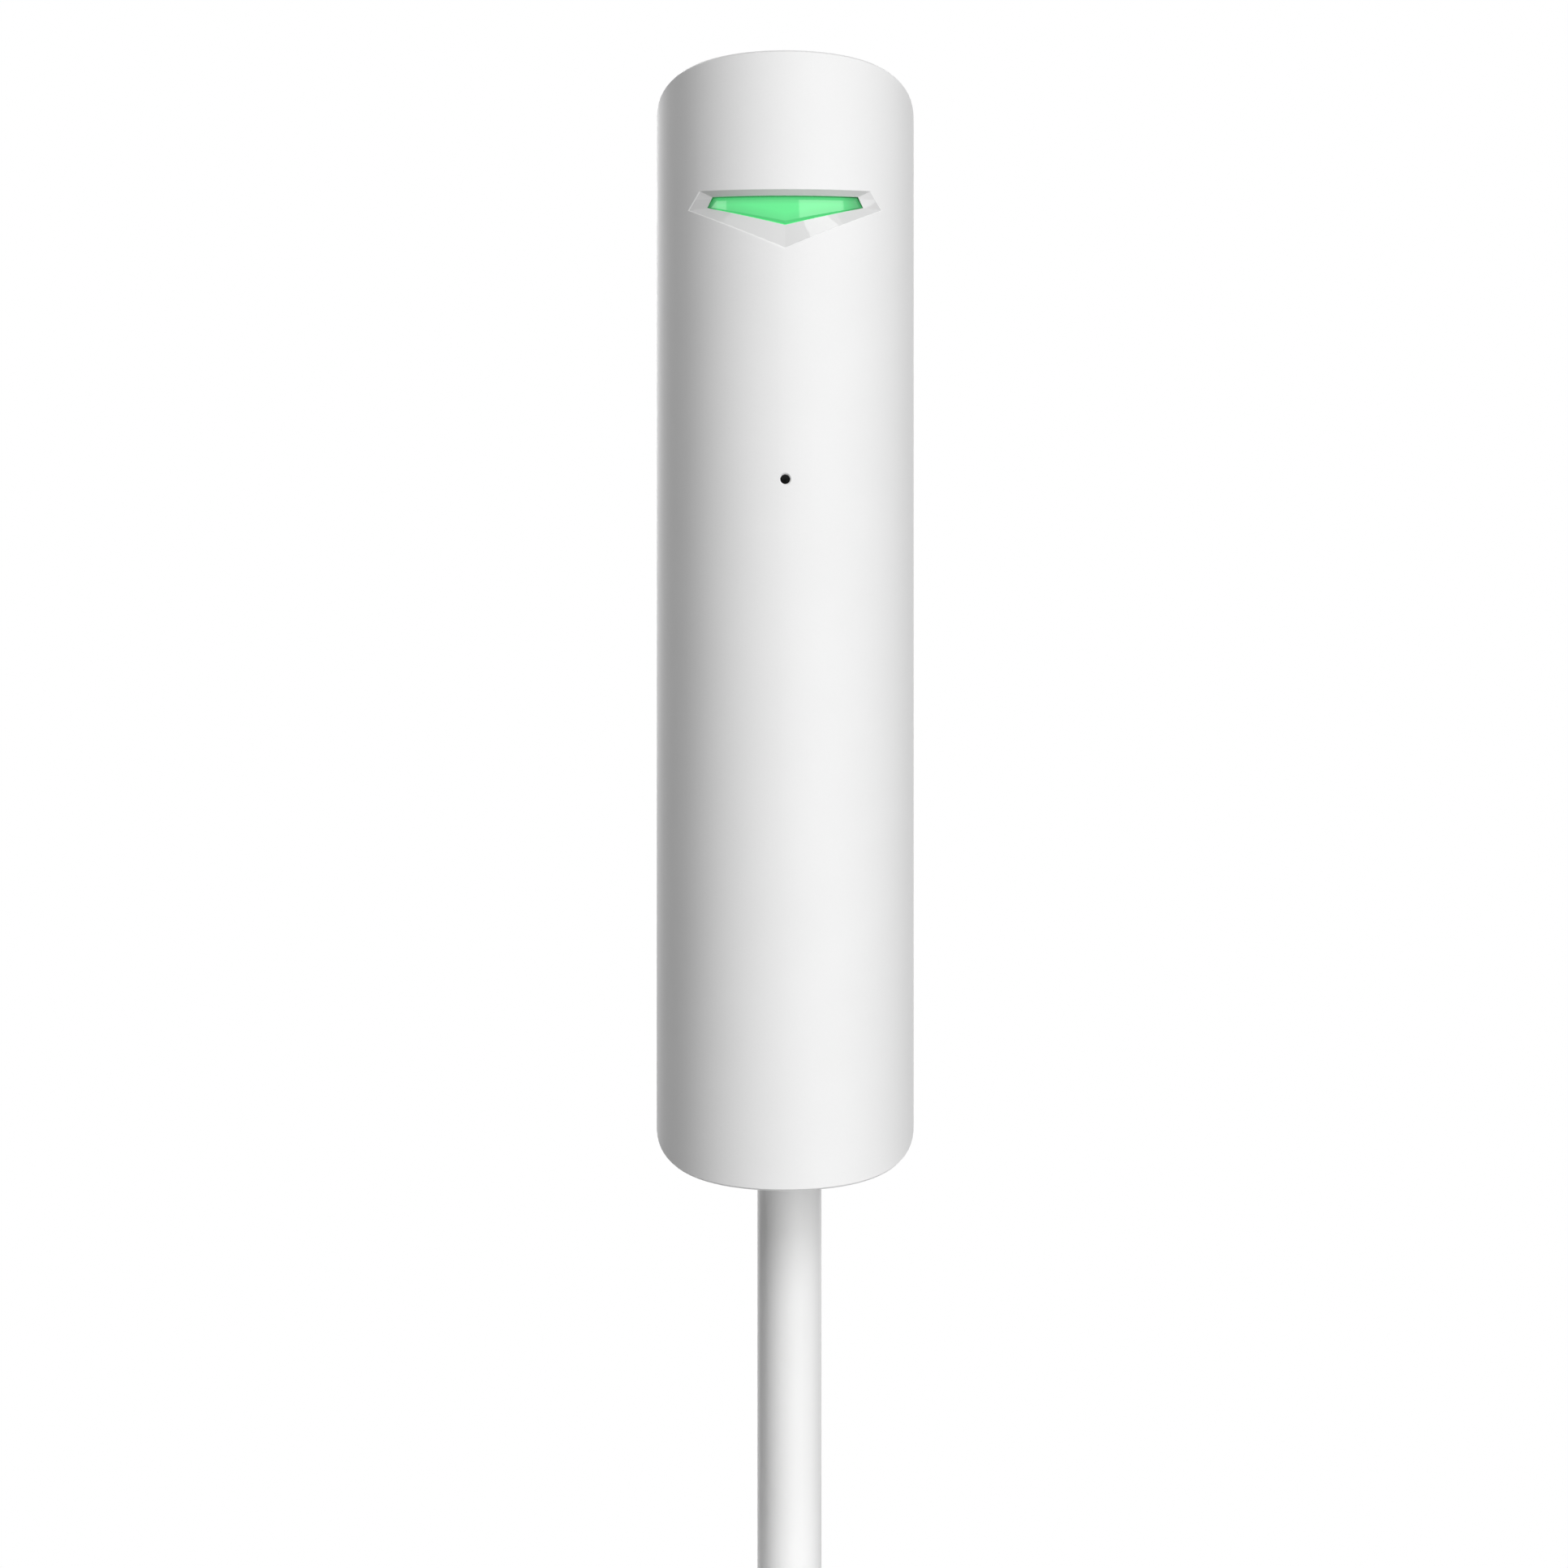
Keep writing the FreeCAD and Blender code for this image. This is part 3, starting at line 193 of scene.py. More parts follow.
def makeTail():
    cores = newCurve("tailCores", bareEnd["coreRadius"], *bareEnd["coreDetail"])
    tips = newCurve("coreTips", bareEnd["strandRadius"], *bareEnd["strandDetail"])
    strands, steps = bareEnd["outerStrands"], bareEnd["twistSteps"]
    for route in tailRoutes():
        addSpline(cores.data, route)
        heading = (route[-1] - route[-2]).normalized()
        side = heading.orthogonal().normalized()
        addSpline(tips.data, [route[-1] - heading * bareEnd["tipInside"],
                              route[-1] + heading * bareEnd["tipLength"]])
        for strand in range(strands):
            wind = []
            for step in range(steps + 1):
                angle = 2 * math.pi * (strand / strands + bareEnd["twist"] * step / steps)
                out = Matrix.Rotation(angle, 3, heading) @ side * bareEnd["strandRing"]
                along = bareEnd["tipLength"] * step / steps - bareEnd["tipInside"]
                wind.append(route[-1] + out + heading * along)
            addSpline(tips.data, wind)
    return cores, tips


tailCores, coreTips = makeTail()
print("bared end made")

# the hank's ties: a strap round each side, with a locking head and the strap's cut end
ties = {
    "width": 0.004,
    "thickness": 0.0006,
    "place": -0.13815,
    "slack": 0.00006,
    "sides": 32,
    "headSize": (0.0018, 0.0052, 0.0052),
    "headOut": 0.0011,
    "endSize": (0.0007, 0.0024, 0.0026),
    "endOut": 0.0009,
    "endInset": 0.001,
    "edge": 0.0002,
}


def edgesOf(vertices):
    # each edge once, in a fixed order
    return list(dict.fromkeys(edge for vertex in vertices for edge in vertex.link_edges))


def makeTies():
    mesh = bpy.data.meshes.new("hankTies")
    bm = bmesh.new()
    gap = 2 * lead["radius"]
    # the left side holds three cables, part way between two layers, the right side four
    for side, back, front in ((1, 0, lead["turns"]), (-1, 0.5, lead["turns"] - 0.5)):
        middle = Vector((lead["side"] + side * lead["foldRadius"],
                         -lead["fromWall"] - gap * (back + front) / 2,
                         ties["place"] - ties["width"] / 2))
        ring = bmesh.ops.create_circle(bm, segments=ties["sides"],
                                       radius=lead["radius"] + ties["slack"],
                                       matrix=Matrix.Translation(middle))["verts"]
        stretch = gap * (front - back) / 2
        for vertex in ring:
            vertex.co.y += stretch if vertex.co.y > middle.y else -stretch
        wall = bmesh.ops.extrude_edge_only(bm, edges=edgesOf(ring))["geom"]
        raised = [item for item in wall if isinstance(item, bmesh.types.BMVert)]
        bmesh.ops.translate(bm, vec=(0, 0, ties["width"]), verts=raised)
        faces = [item for item in wall if isinstance(item, bmesh.types.BMFace)]
        bmesh.ops.recalc_face_normals(bm, faces=faces)
        bmesh.ops.solidify(bm, geom=faces, thickness=-ties["thickness"])
        # the locking head stands on the outer side with the strap's end through it
        outer = Vector((middle.x + side * (lead["radius"] + ties["headOut"]), middle.y,
                        ties["place"]))
        past = (side * ties["endOut"], ties["headSize"][1] / 2 - ties["endInset"], 0)
        for size, shift in ((ties["headSize"], (0, 0, 0)), (ties["endSize"], past)):
            spot = Matrix.Translation(outer + Vector(shift)) @ Matrix.Diagonal((*size, 1))
            block = bmesh.ops.create_cube(bm, size=1, matrix=spot)["verts"]
            bmesh.ops.bevel(bm, geom=edgesOf(block), offset=ties["edge"], segments=2,
                            affect="EDGES", profile=0.5, material=-1)
    bmesh.ops.recalc_face_normals(bm, faces=bm.faces)
    bm.to_mesh(mesh)
    bm.free()
    piece = bpy.data.objects.new("hankStraps", mesh)
    scene.collection.objects.link(piece)
    return piece


hankStraps = makeTies()
print("ties made")

# a finish for each of the record's material slots. Swing is how far the roughness drifts, depth
# the strength of the relief
finishes = {
    "cover_plastic": {
        "colour": (0.85, 0.85, 0.85), "deep": (0.80, 0.80, 0.80),
        "rough": 0.58, "swing": 0.06, "pattern": "grain", "scale": 5200, "depth": 0.10,
        "shine": 0.3,
    },
    "plate_plastic": {
        "colour": (0.82, 0.82, 0.82), "deep": (0.76, 0.76, 0.76),
        "rough": 0.55, "swing": 0.08, "pattern": "grain", "scale": 4200, "depth": 0.12,
    },
    "board_laminate": {
        "colour": (0.02, 0.19, 0.06), "deep": (0.01, 0.10, 0.03),
        "rough": 0.32, "swing": 0.10, "pattern": "traces", "scale": 620, "depth": 0.25, "coat": 0.4,
    },
    "chip_black": {
        "colour": (0.028, 0.028, 0.030), "deep": (0.018, 0.018, 0.019),
        "rough": 0.50, "swing": 0.12, "pattern": "grain", "scale": 9000, "depth": 0.20,
    },
    "relay_white": {
        "colour": (0.72, 0.71, 0.66), "deep": (0.64, 0.63, 0.58),
        "rough": 0.45, "swing": 0.08, "pattern": "grain", "scale": 7000, "depth": 0.12,
    },
    "led_body": {
        "colour": (0.84, 0.85, 0.74), "deep": (0.78, 0.78, 0.62),
        "rough": 0.20, "swing": 0.05, "pattern": "grain", "scale": 3000, "depth": 0.05, "coat": 0.6,
    },
    "can_metal": {
        "colour": (0.68, 0.68, 0.70), "deep": (0.55, 0.55, 0.57),
        "rough": 0.28, "swing": 0.12, "pattern": "brushed", "scale": 2600, "depth": 0.12,
        "metal": 1.0,
    },
    "crystal_metal": {
        "colour": (0.70, 0.69, 0.65), "deep": (0.58, 0.57, 0.54),
        "rough": 0.24, "swing": 0.12, "pattern": "brushed", "scale": 3600, "depth": 0.10,
        "metal": 1.0,
    },
    "ferrite": {
        "colour": (0.070, 0.070, 0.078), "deep": (0.040, 0.040, 0.045),
        "rough": 0.62, "swing": 0.15, "pattern": "grain", "scale": 5200, "depth": 0.35,
    },
    "chip_ceramic": {
        "colour": (0.45, 0.34, 0.22), "deep": (0.36, 0.26, 0.16),
        "rough": 0.42, "swing": 0.10, "pattern": "grain", "scale": 6200, "depth": 0.18,
    },
    "chip_film": {
        "colour": (0.030, 0.030, 0.036), "deep": (0.018, 0.018, 0.022),
        "rough": 0.30, "swing": 0.10, "pattern": "grain", "scale": 6200, "depth": 0.12, "coat": 0.5,
    },
    "screw_steel": {
        "colour": (0.62, 0.62, 0.63), "deep": (0.46, 0.46, 0.48),
        "rough": 0.30, "swing": 0.16, "pattern": "brushed", "scale": 3200, "depth": 0.16,
        "metal": 1.0,
    },
    "boot_rubber": {
        "colour": (0.035, 0.035, 0.035), "deep": (0.024, 0.024, 0.024),
        "rough": 0.78, "swing": 0.10, "pattern": "grain", "scale": 3800, "depth": 0.22,
    },
    "sleeve_rubber": {
        "colour": (0.76, 0.76, 0.75), "deep": (0.68, 0.68, 0.67),
        "rough": 0.66, "swing": 0.10, "pattern": "grain", "scale": 3800, "depth": 0.16,
    },
    "mesh_cloth": {
        "colour": (0.42, 0.42, 0.43), "deep": (0.16, 0.16, 0.16),
        "rough": 0.85, "swing": 0.06, "pattern": "weave", "scale": 5200, "depth": 0.60,
    },
    "switch_black": {
        "colour": (0.045, 0.045, 0.048), "deep": (0.030, 0.030, 0.032),
        "rough": 0.46, "swing": 0.10, "pattern": "grain", "scale": 6200, "depth": 0.16,
    },
    "button_white": {
        "colour": (0.78, 0.78, 0.76), "deep": (0.70, 0.70, 0.68),
        "rough": 0.36, "swing": 0.08, "pattern": "grain", "scale": 4600, "depth": 0.10,
    },
    "header_black": {
        "colour": (0.035, 0.035, 0.037), "deep": (0.022, 0.022, 0.024),
        "rough": 0.48, "swing": 0.10, "pattern": "grain", "scale": 6200, "depth": 0.16,
    },
    "link_red": {
        "colour": (0.55, 0.035, 0.030), "deep": (0.40, 0.020, 0.018),
        "rough": 0.34, "swing": 0.08, "pattern": "grain", "scale": 5200, "depth": 0.12,
    },
    "cable_sheath": {
        "colour": (0.88, 0.88, 0.88), "deep": (0.84, 0.84, 0.835),
        "rough": 0.46, "swing": 0.08, "pattern": "sheath", "scale": 900, "depth": 0.08, "coat": 0.1,
        "shine": 0.12,
    },
    "tip_copper": {
        "colour": (0.86, 0.45, 0.26), "deep": (0.62, 0.28, 0.14),
        "rough": 0.26, "swing": 0.14, "pattern": "brushed", "scale": 3600, "depth": 0.12,
        "metal": 1.0,
    },
    "tie_white": {
        "colour": (0.74, 0.74, 0.72), "deep": (0.66, 0.66, 0.64),
        "rough": 0.44, "swing": 0.10, "pattern": "sheath", "scale": 1500, "depth": 0.14,
    },
}
coreColours = [(0.55, 0.03, 0.02), (0.03, 0.03, 0.03), (0.78, 0.60, 0.04), (0.04, 0.36, 0.08),
               (0.76, 0.76, 0.74), (0.04, 0.12, 0.50)]


def wire(tree, kind, settings=(), **inputs):
    # inputs go by name with _ for a space, or by number as i0, i1
    node = tree.nodes.new(kind)
    for name, value in settings:
        setattr(node, name, value)
    for name, value in inputs.items():
        socket = node.inputs[int(name[1:]) if name[1:].isdigit() else name.replace("_", " ")]
        if isinstance(value, bpy.types.NodeSocket):
            tree.links.new(value, socket)
        else:
            socket.default_value = value
    return node


def calc(tree, operation, first, second=0.0, third=0.0):
    return wire(tree, "ShaderNodeMath", [("operation", operation)],
                i0=first, i1=second, i2=third).outputs[0]


def blendColour(tree, share, first, second):
    mix = wire(tree, "ShaderNodeMix", [("data_type", "RGBA")])
    for socket, value in ((mix.inputs[0], share), (mix.inputs[6], first), (mix.inputs[7], second)):
        if isinstance(value, bpy.types.NodeSocket):
            tree.links.new(value, socket)
        else:
            socket.default_value = value if isinstance(value, float) else (*value[:3], 1)
    return mix.outputs[2]


def newGroup(name, ins, outs):
    tree = bpy.data.node_groups.new(name, "ShaderNodeTree")
    for label, value in ins:
        socket = tree.interface.new_socket(name=label, in_out="INPUT",
                                           socket_type="NodeSocketFloat")
        socket.default_value = value
    for label in outs:
        tree.interface.new_socket(name=label, in_out="OUTPUT", socket_type="NodeSocketFloat")
    return tree, tree.nodes.new("NodeGroupInput"), tree.nodes.new("NodeGroupOutput")


# the patterns' own values: each scale gives way to that of the finish that uses the pattern
grain = {"scale": 4000.0, "rough": 0.6, "wideDetail": 2.0, "fineShare": 0.35, "wideShare": 0.65}
weave = {"scale": 5000.0, "wobble": 0.3}
traces = {"scale": 600.0, "scatter": 0.7, "rings": 4.0, "fold": 0.5, "edge": 0.3}


def makeGrain(name, stretch, detail, wideScale):
    # fine relief in Height, slow drift of tone in Shade
    tree, given, result = newGroup(name, [("Scale", grain["scale"])], ["Height", "Shade"])
    place = wire(tree, "ShaderNodeTexCoord").outputs["Object"]
    drawn = wire(tree, "ShaderNodeMapping", Vector=place, Scale=stretch).outputs[0]
    fine = wire(tree, "ShaderNodeTexNoise", Vector=drawn, Scale=given.outputs[0], Detail=detail,
                Roughness=grain["rough"]).outputs[0]
    wide = wire(tree, "ShaderNodeTexNoise", Vector=place, Detail=grain["wideDetail"],
                Scale=calc(tree, "MULTIPLY", given.outputs[0], wideScale)).outputs[0]
    tree.links.new(fine, result.inputs["Height"])
    tree.links.new(calc(tree, "ADD", calc(tree, "MULTIPLY", fine, grain["fineShare"]),
                        calc(tree, "MULTIPLY", wide, grain["wideShare"])), result.inputs["Shade"])
    return tree


def makeWeave():
    # threads both ways, raised where they cross
    tree, given, result = newGroup("weave", [("Scale", weave["scale"])], ["Height", "Shade"])
    place = wire(tree, "ShaderNodeTexCoord").outputs["Object"]
    bands = []
    for way in ("X", "Z"):
        bands.append(wire(tree, "ShaderNodeTexWave", [("bands_direction", way)], Vector=place,
                          Scale=given.outputs[0], Distortion=weave["wobble"]).outputs["Fac"])
    woven = calc(tree, "MAXIMUM", bands[0], bands[1])
    tree.links.new(woven, result.inputs["Height"])
    tree.links.new(calc(tree, "SUBTRACT", 1.0, woven), result.inputs["Shade"])
    return tree


def makeTraces():
    # copper runs under the board's mask: ridges between square cells
    tree, given, result = newGroup("traces", [("Scale", traces["scale"])], ["Height", "Shade"])
    place = wire(tree, "ShaderNodeTexCoord").outputs["Object"]
    cells = wire(tree, "ShaderNodeTexVoronoi", [("distance", "CHEBYCHEV"), ("feature", "F1")],
                 Vector=place, Scale=given.outputs[0],
                 Randomness=traces["scatter"]).outputs["Distance"]
    rings = calc(tree, "PINGPONG", calc(tree, "MULTIPLY", cells, traces["rings"]), traces["fold"])
    runs = calc(tree, "GREATER_THAN", rings, traces["edge"])
    tree.links.new(runs, result.inputs["Height"])
    tree.links.new(calc(tree, "SUBTRACT", 1.0, runs), result.inputs["Shade"])
    return tree


# where the cover's window recess lies, how much painted shade darkens it against the barrel, and
# how much smoother it is
recess = {
    "below": 0.01016,
    "fromWall": 0.0075,
    "front": -0.012,
    "low": 0.0285,
    "high": 0.036,
    "polishedBelow": 0.0331,
    "mattPaintedShade": 0.82,
    "polishedPaintedShade": 0.95,
    "rough": 0.03,
    "matt": 0.42,
    "coat": 0.45,
}


def makeRecessMask():
    # 1 where the surface lies below the barrel's skin between two heights, 0 elsewhere
    tree, given, result = newGroup("recessMask", [("Low", recess["low"]),
                                                  ("High", recess["high"])], ["Mask"])
    place = wire(tree, "ShaderNodeTexCoord").outputs["Object"]
    split = wire(tree, "ShaderNodeSeparateXYZ", Vector=place)
    out = calc(tree, "ADD", split.outputs["Y"], recess["fromWall"])
    across = split.outputs["X"]
    reach = calc(tree, "SQRT", calc(tree, "ADD", calc(tree, "MULTIPLY", across, across),
                                    calc(tree, "MULTIPLY", out, out)))
    sunk = calc(tree, "LESS_THAN", reach, recess["below"])
    front = calc(tree, "LESS_THAN", split.outputs["Y"], recess["front"])
    above = calc(tree, "GREATER_THAN", split.outputs["Z"], given.outputs["Low"])
    under = calc(tree, "LESS_THAN", split.outputs["Z"], given.outputs["High"])
    tree.links.new(calc(tree, "MULTIPLY", calc(tree, "MULTIPLY", sunk, front),
                        calc(tree, "MULTIPLY", above, under)), result.inputs["Mask"])
    return tree


patterns = {
    "grain": makeGrain("mouldedGrain", stretch=(1, 1, 1), detail=3.0, wideScale=0.03),
    "brushed": makeGrain("brushedGrain", stretch=(1, 1, 0.06), detail=4.0, wideScale=0.08),
    "sheath": makeGrain("sheathRipple", stretch=(1, 1, 0.35), detail=2.0, wideScale=0.2),
    "weave": makeWeave(),
    "traces": makeTraces(),
}
recessMask = makeRecessMask()


def startMaterial(name):
    material = bpy.data.materials.new(name)
    material.use_nodes = True
    tree = material.node_tree
    return material, tree, tree.nodes["Principled BSDF"]


# what a finish has where it names no value of its own
usual = {"deepShare": 0.8, "bumpHeight": 0.00004, "metal": 0.0, "coat": 0.0, "coatRough": 0.2,
         "shine": 0.5}


def dress(tree, shader, look, colour=None):
    # pattern, colour drift, roughness drift and relief of one finish
    group = wire(tree, "ShaderNodeGroup", [("node_tree", patterns[look["pattern"]])],
                 Scale=look["scale"])
    colour = colour or look["colour"]
    deep = look.get("deep", [part * usual["deepShare"] for part in colour])
    tone = blendColour(tree, group.outputs["Shade"], colour, deep)
    rough = calc(tree, "MULTIPLY_ADD", group.outputs["Height"], look["swing"],
                 look["rough"] - look["swing"] / 2)
    bump = wire(tree, "ShaderNodeBump", Height=group.outputs["Height"], Strength=look["depth"],
                Distance=usual["bumpHeight"])
    tree.links.new(tone, shader.inputs["Base Color"])
    tree.links.new(rough, shader.inputs["Roughness"])
    tree.links.new(bump.outputs[0], shader.inputs["Normal"])
    shader.inputs["Metallic"].default_value = look.get("metal", usual["metal"])
    shader.inputs["Coat Weight"].default_value = look.get("coat", usual["coat"])
    shader.inputs["Coat Roughness"].default_value = usual["coatRough"]
    shader.inputs["Specular IOR Level"].default_value = look.get("shine", usual["shine"])
    return tone, rough, bump


def plainFinish(name, look, colour=None):
    material, tree, shader = startMaterial(name)
    dress(tree, shader, look, colour)
    return material


def mapRange(tree, value, start, end):
    # start where the value is 0, end where it is 1
    return wire(tree, "ShaderNodeMapRange", Value=value, To_Min=start, To_Max=end).outputs[0]


def coverFinish():
    # grained barrel; the recess is smooth, darkened with painted shade, and polished below its top
    # facet
    look = finishes["cover_plastic"]
    material, tree, shader = startMaterial("coverPlastic")
    tone, rough, bump = dress(tree, shader, look)
    inside = wire(tree, "ShaderNodeGroup", [("node_tree", recessMask)]).outputs["Mask"]
    polished = wire(tree, "ShaderNodeGroup", [("node_tree", recessMask)],
                    High=recess["polishedBelow"]).outputs["Mask"]
    # painted shade: the recess colour is darkened, its polished facets more than its top facet
    shade = calc(tree, "MULTIPLY", mapRange(tree, inside, 1.0, recess["mattPaintedShade"]),
                 mapRange(tree, polished, 1.0, recess["polishedPaintedShade"]))
    facet = mapRange(tree, polished, recess["matt"], recess["rough"])
    tree.links.new(wire(tree, "ShaderNodeVectorMath", [("operation", "MULTIPLY")],
                        i0=tone, i1=shade).outputs[0], shader.inputs["Base Color"])
    tree.links.new(mapRange(tree, inside, rough, facet), shader.inputs["Roughness"])
    tree.links.new(calc(tree, "MULTIPLY", polished, recess["coat"]), shader.inputs["Coat Weight"])
    shader.inputs["Coat Roughness"].default_value = recess["rough"]
    tree.links.new(mapRange(tree, inside, look["depth"], 0.0), bump.inputs["Strength"])
    return material


# the window moulding's painted glow, with no lamp inside it: where the painted light falls off goes
# in millimetres across and up
guide = {
    "colour": (0.07, 0.30, 0.12),
    "light": (0.115, 1.0, 0.30),
    "paintedGlow": 0.57,
    "rough": 0.05,
    "perMetre": 1000.0,
    "haze": 900.0,
    "hazeDetail": 2.0,
    "hazeLight": (0.04, 0.98),
    "hazeTone": 0.92,
    "hazeRough": 0.03,
    "relief": 0.05,
    "bumpHeight": 0.00003,
    "top": 33.22,
    "topFade": 0.64,
    "topLight": 0.50,
    "point": 31.01,
    "pointRise": 0.232,
    "pointFade": 0.95,
    "pointLight": 0.74,
    "rightFade": (4.3, 5.7),
    "rightLight": 0.35,
    "leftFade": (-5.3, -6.0),
    "leftLight": 0.29,
}


def guideFinish():
    # clear green moulding with a painted glow; the painted light is weaker towards its top edge,
    # its point and both ends, as painted shade
    material, tree, shader = startMaterial("guideGreen")
    place = wire(tree, "ShaderNodeTexCoord").outputs["Object"]
    split = wire(tree, "ShaderNodeSeparateXYZ", Vector=place)
    across = calc(tree, "MULTIPLY", split.outputs["X"], guide["perMetre"])
    up = calc(tree, "MULTIPLY", split.outputs["Z"], guide["perMetre"])
    fromTop = calc(tree, "SUBTRACT", guide["top"], up)
    lowerRim = calc(tree, "MULTIPLY_ADD", calc(tree, "ABSOLUTE", across), guide["pointRise"],
                    guide["point"])
    fromPoint = calc(tree, "SUBTRACT", up, lowerRim)
    light = 1.0
    for value, start, end, dim in (
            (fromTop, guide["topFade"], 0.0, guide["topLight"]),
            (fromPoint, guide["pointFade"], 0.0, guide["pointLight"]),
            (across, *guide["rightFade"], guide["rightLight"]),
            (across, *guide["leftFade"], guide["leftLight"])):
        fade = wire(tree, "ShaderNodeMapRange", Value=value, From_Min=start, From_Max=end,
                    To_Min=1.0, To_Max=dim).outputs[0]
        light = calc(tree, "MULTIPLY", fade, light)
    haze = wire(tree, "ShaderNodeTexNoise", Vector=place, Scale=guide["haze"],
                Detail=guide["hazeDetail"]).outputs[0]
    light = calc(tree, "MULTIPLY", light, calc(tree, "MULTIPLY_ADD", haze, *guide["hazeLight"]))
    hazed = [part * guide["hazeTone"] for part in guide["colour"]]
    tree.links.new(blendColour(tree, haze, guide["colour"], hazed), shader.inputs["Base Color"])
    # painted light: the emission stands in for the moulding's brightness, and its fades paint shade
    tree.links.new(blendColour(tree, light, (0.0, 0.0, 0.0), guide["light"]),
                   shader.inputs["Emission Color"])
    tree.links.new(calc(tree, "MULTIPLY_ADD", haze, guide["hazeRough"], guide["rough"]),
                   shader.inputs["Roughness"])
    bump = wire(tree, "ShaderNodeBump", Height=haze, Strength=guide["relief"],
                Distance=guide["bumpHeight"])
    tree.links.new(bump.outputs[0], shader.inputs["Normal"])
    shader.inputs["Emission Strength"].default_value = guide["paintedGlow"]
    return material


# the cores' insulation, and how wide their row of pads is on the board
coreLook = {"rough": 0.36, "swing": 0.08, "pattern": "sheath", "scale": 2600, "depth": 0.12}
padRow = {"left": -0.0066, "right": 0.0066}
coreFinishes = [plainFinish("core%dColour" % (number + 1), coreLook, colour)
                for number, colour in enumerate(coreColours)]


def innerCoreFinish():
    # one colour for each of the six cores, read from its place across the board
    material, tree, shader = startMaterial("innerCoreColours")
    dress(tree, shader, coreLook, coreColours[0])
    place = wire(tree, "ShaderNodeTexCoord").outputs["Object"]
    split = wire(tree, "ShaderNodeSeparateXYZ", Vector=place)
    across = wire(tree, "ShaderNodeMapRange", Value=split.outputs["X"], From_Min=padRow["left"],
                  From_Max=padRow["right"])
    ramp = wire(tree, "ShaderNodeValToRGB", Fac=across.outputs[0])
    ramp.color_ramp.interpolation = "CONSTANT"
    marks = ramp.color_ramp.elements
    while len(marks) < len(coreColours):
        marks.new(0.5)
    for number, colour in enumerate(coreColours):
        marks[number].position = number / len(coreColours)
        marks[number].color = (*colour, 1)
    tree.links.new(ramp.outputs[0], shader.inputs["Base Color"])
    return material


materials = {slot: plainFinish(slot, look) for slot, look in finishes.items()
             if slot != "cover_plastic"}
materials["cover_plastic"] = coverFinish()
materials["guide_green"] = guideFinish()
materials["core_colours"] = innerCoreFinish()
slotOf = {part["node"]: part["material_slot"] for part in record["subparts"]}
for name, node in nodes.items():
    node.data.materials.clear()
    node.data.materials.append(materials[slotOf[name]])
leadPiece.data.materials.append(materials["cable_sheath"])
hankStraps.data.materials.append(materials["tie_white"])
coreTips.data.materials.append(materials["tip_copper"])
for number, finish in enumerate(coreFinishes):
    tailCores.data.materials.append(finish)
    tailCores.data.splines[number].material_index = number
print("finishes made:", len(bpy.data.materials))

for piece, slot, replaced in ((leadPiece, "cable_sheath", ("lead_cable", "lead_hank", "lead_tail")),
                              (hankStraps, "tie_white", ("hank_ties",)),
                              (tailCores, "core_colours", ("tail_cores",)),
                              (coreTips, "tip_copper", ("core_tips",))):
    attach(piece, "housing")
    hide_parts(*replaced)
print("pieces placed on the housing")

# plain pale floor under the hanging lead, white surroundings, soft lamps
studio = {
    "floorHeight": -0.2272,
    "floorRadius": 0.30,
    "floorSides": 96,
    "floorColour": (0.82, 0.82, 0.82),
    "floorRough": 0.8,
    "fadeFrom": 0.3,
    "haze": 900.0,
    "hazeDetail": 2.0,
    "hazeTone": 0.98,
    "ambient": 0.02,
    "aim": (0, -0.008, 0),
}
# bearing from the front in degrees, height angle, distance, width, tall, power
lamps = {
    "keyLamp": (34, 9, 1.1, 0.86, 1.5, 11.8),
    "fillLamp": (-2, 40, 0.6, 0.75, 0.5, 1.48),
    "lowLamp": (6, -12, 1.0, 0.6, 0.3, 1.05),
    "stripLamp": (-64, 3.6, 1.2, 0.34, 0.10, 0.30),
    "rimLamp": (-152, 20, 0.5, 0.35, 0.35, 2.0),
    "backLamp": (165, 12, 1.3, 0.7, 0.9, 2.4),
}


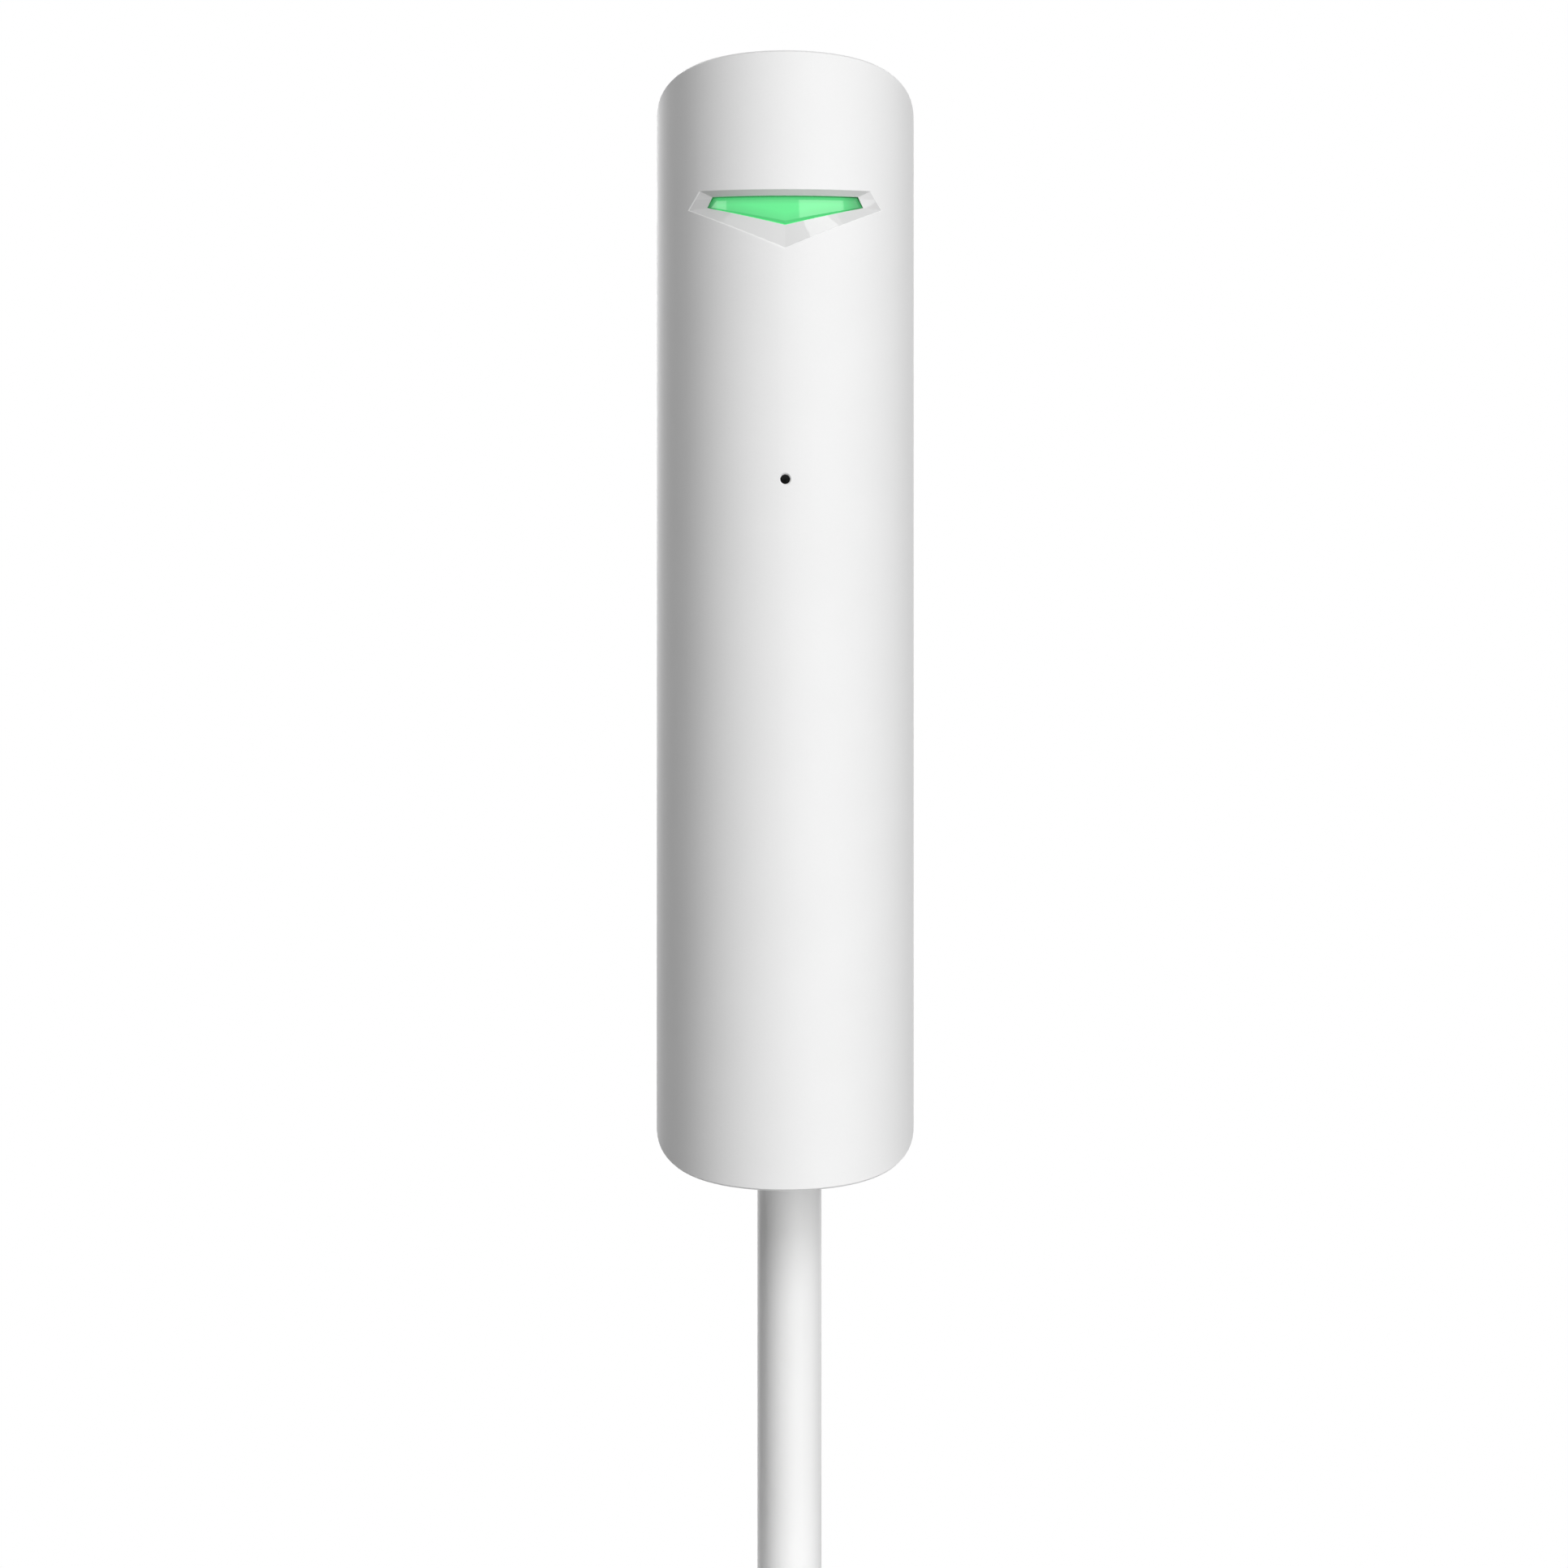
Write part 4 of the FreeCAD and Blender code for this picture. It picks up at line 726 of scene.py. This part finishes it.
def makeFloor():
    mesh = bpy.data.meshes.new("floorPlane")
    bm = bmesh.new()
    bmesh.ops.create_circle(bm, cap_ends=True, segments=studio["floorSides"],
                            radius=studio["floorRadius"],
                            matrix=Matrix.Translation((0, 0, studio["floorHeight"])))
    bm.to_mesh(mesh)
    bm.free()
    floor = bpy.data.objects.new("floorPlane", mesh)
    scene.collection.objects.link(floor)
    material, tree, shader = startMaterial("floorPaper")
    place = wire(tree, "ShaderNodeTexCoord").outputs["Object"]
    haze = wire(tree, "ShaderNodeTexNoise", Vector=place, Scale=studio["haze"],
                Detail=studio["hazeDetail"]).outputs[0]
    # the sheet fades out towards its rim, so no edge shows against the white
    flat = wire(tree, "ShaderNodeVectorMath", [("operation", "MULTIPLY")],
                i0=place, i1=(1, 1, 0)).outputs[0]
    away = wire(tree, "ShaderNodeVectorMath", [("operation", "LENGTH")], i0=flat).outputs["Value"]
    fade = wire(tree, "ShaderNodeMapRange", [("interpolation_type", "SMOOTHSTEP")], Value=away,
                From_Min=studio["floorRadius"] * studio["fadeFrom"],
                From_Max=studio["floorRadius"], To_Min=1.0, To_Max=0.0)
    tree.links.new(fade.outputs[0], shader.inputs["Alpha"])
    hazed = [part * studio["hazeTone"] for part in studio["floorColour"]]
    tree.links.new(blendColour(tree, haze, studio["floorColour"], hazed),
                   shader.inputs["Base Color"])
    shader.inputs["Roughness"].default_value = studio["floorRough"]
    mesh.materials.append(material)


def lightScene():
    aim = Vector(studio["aim"])
    for name, (bearing, rise, distance, width, tall, power) in lamps.items():
        lamp = bpy.data.lights.new(name, "AREA")
        lamp.shape = "RECTANGLE"
        lamp.size, lamp.size_y, lamp.energy = width, tall, power
        turn, tilt = math.radians(bearing), math.radians(rise)
        away = Vector((math.sin(turn) * math.cos(tilt), -math.cos(turn) * math.cos(tilt),
                       math.sin(tilt)))
        stand = bpy.data.objects.new(name, lamp)
        stand.location = aim + away * distance
        stand.rotation_euler = away.to_track_quat("Z", "Y").to_euler()
        scene.collection.objects.link(stand)
    world = bpy.data.worlds.new("studioWorld")
    scene.world = world
    world.use_nodes = True
    tree = world.node_tree
    # white where it is seen, mirrored or looked through, and a faint light elsewhere
    path = wire(tree, "ShaderNodeLightPath")
    seen = calc(tree, "MAXIMUM", path.outputs["Is Camera Ray"],
                calc(tree, "MAXIMUM", path.outputs["Is Glossy Ray"],
                     path.outputs["Is Transmission Ray"]))
    strength = calc(tree, "MULTIPLY_ADD", seen, 1.0 - studio["ambient"], studio["ambient"])
    sky = tree.nodes["Background"]
    sky.inputs["Color"].default_value = (1, 1, 1, 1)
    tree.links.new(strength, sky.inputs["Strength"])


makeFloor()
lightScene()
print("studio ready")
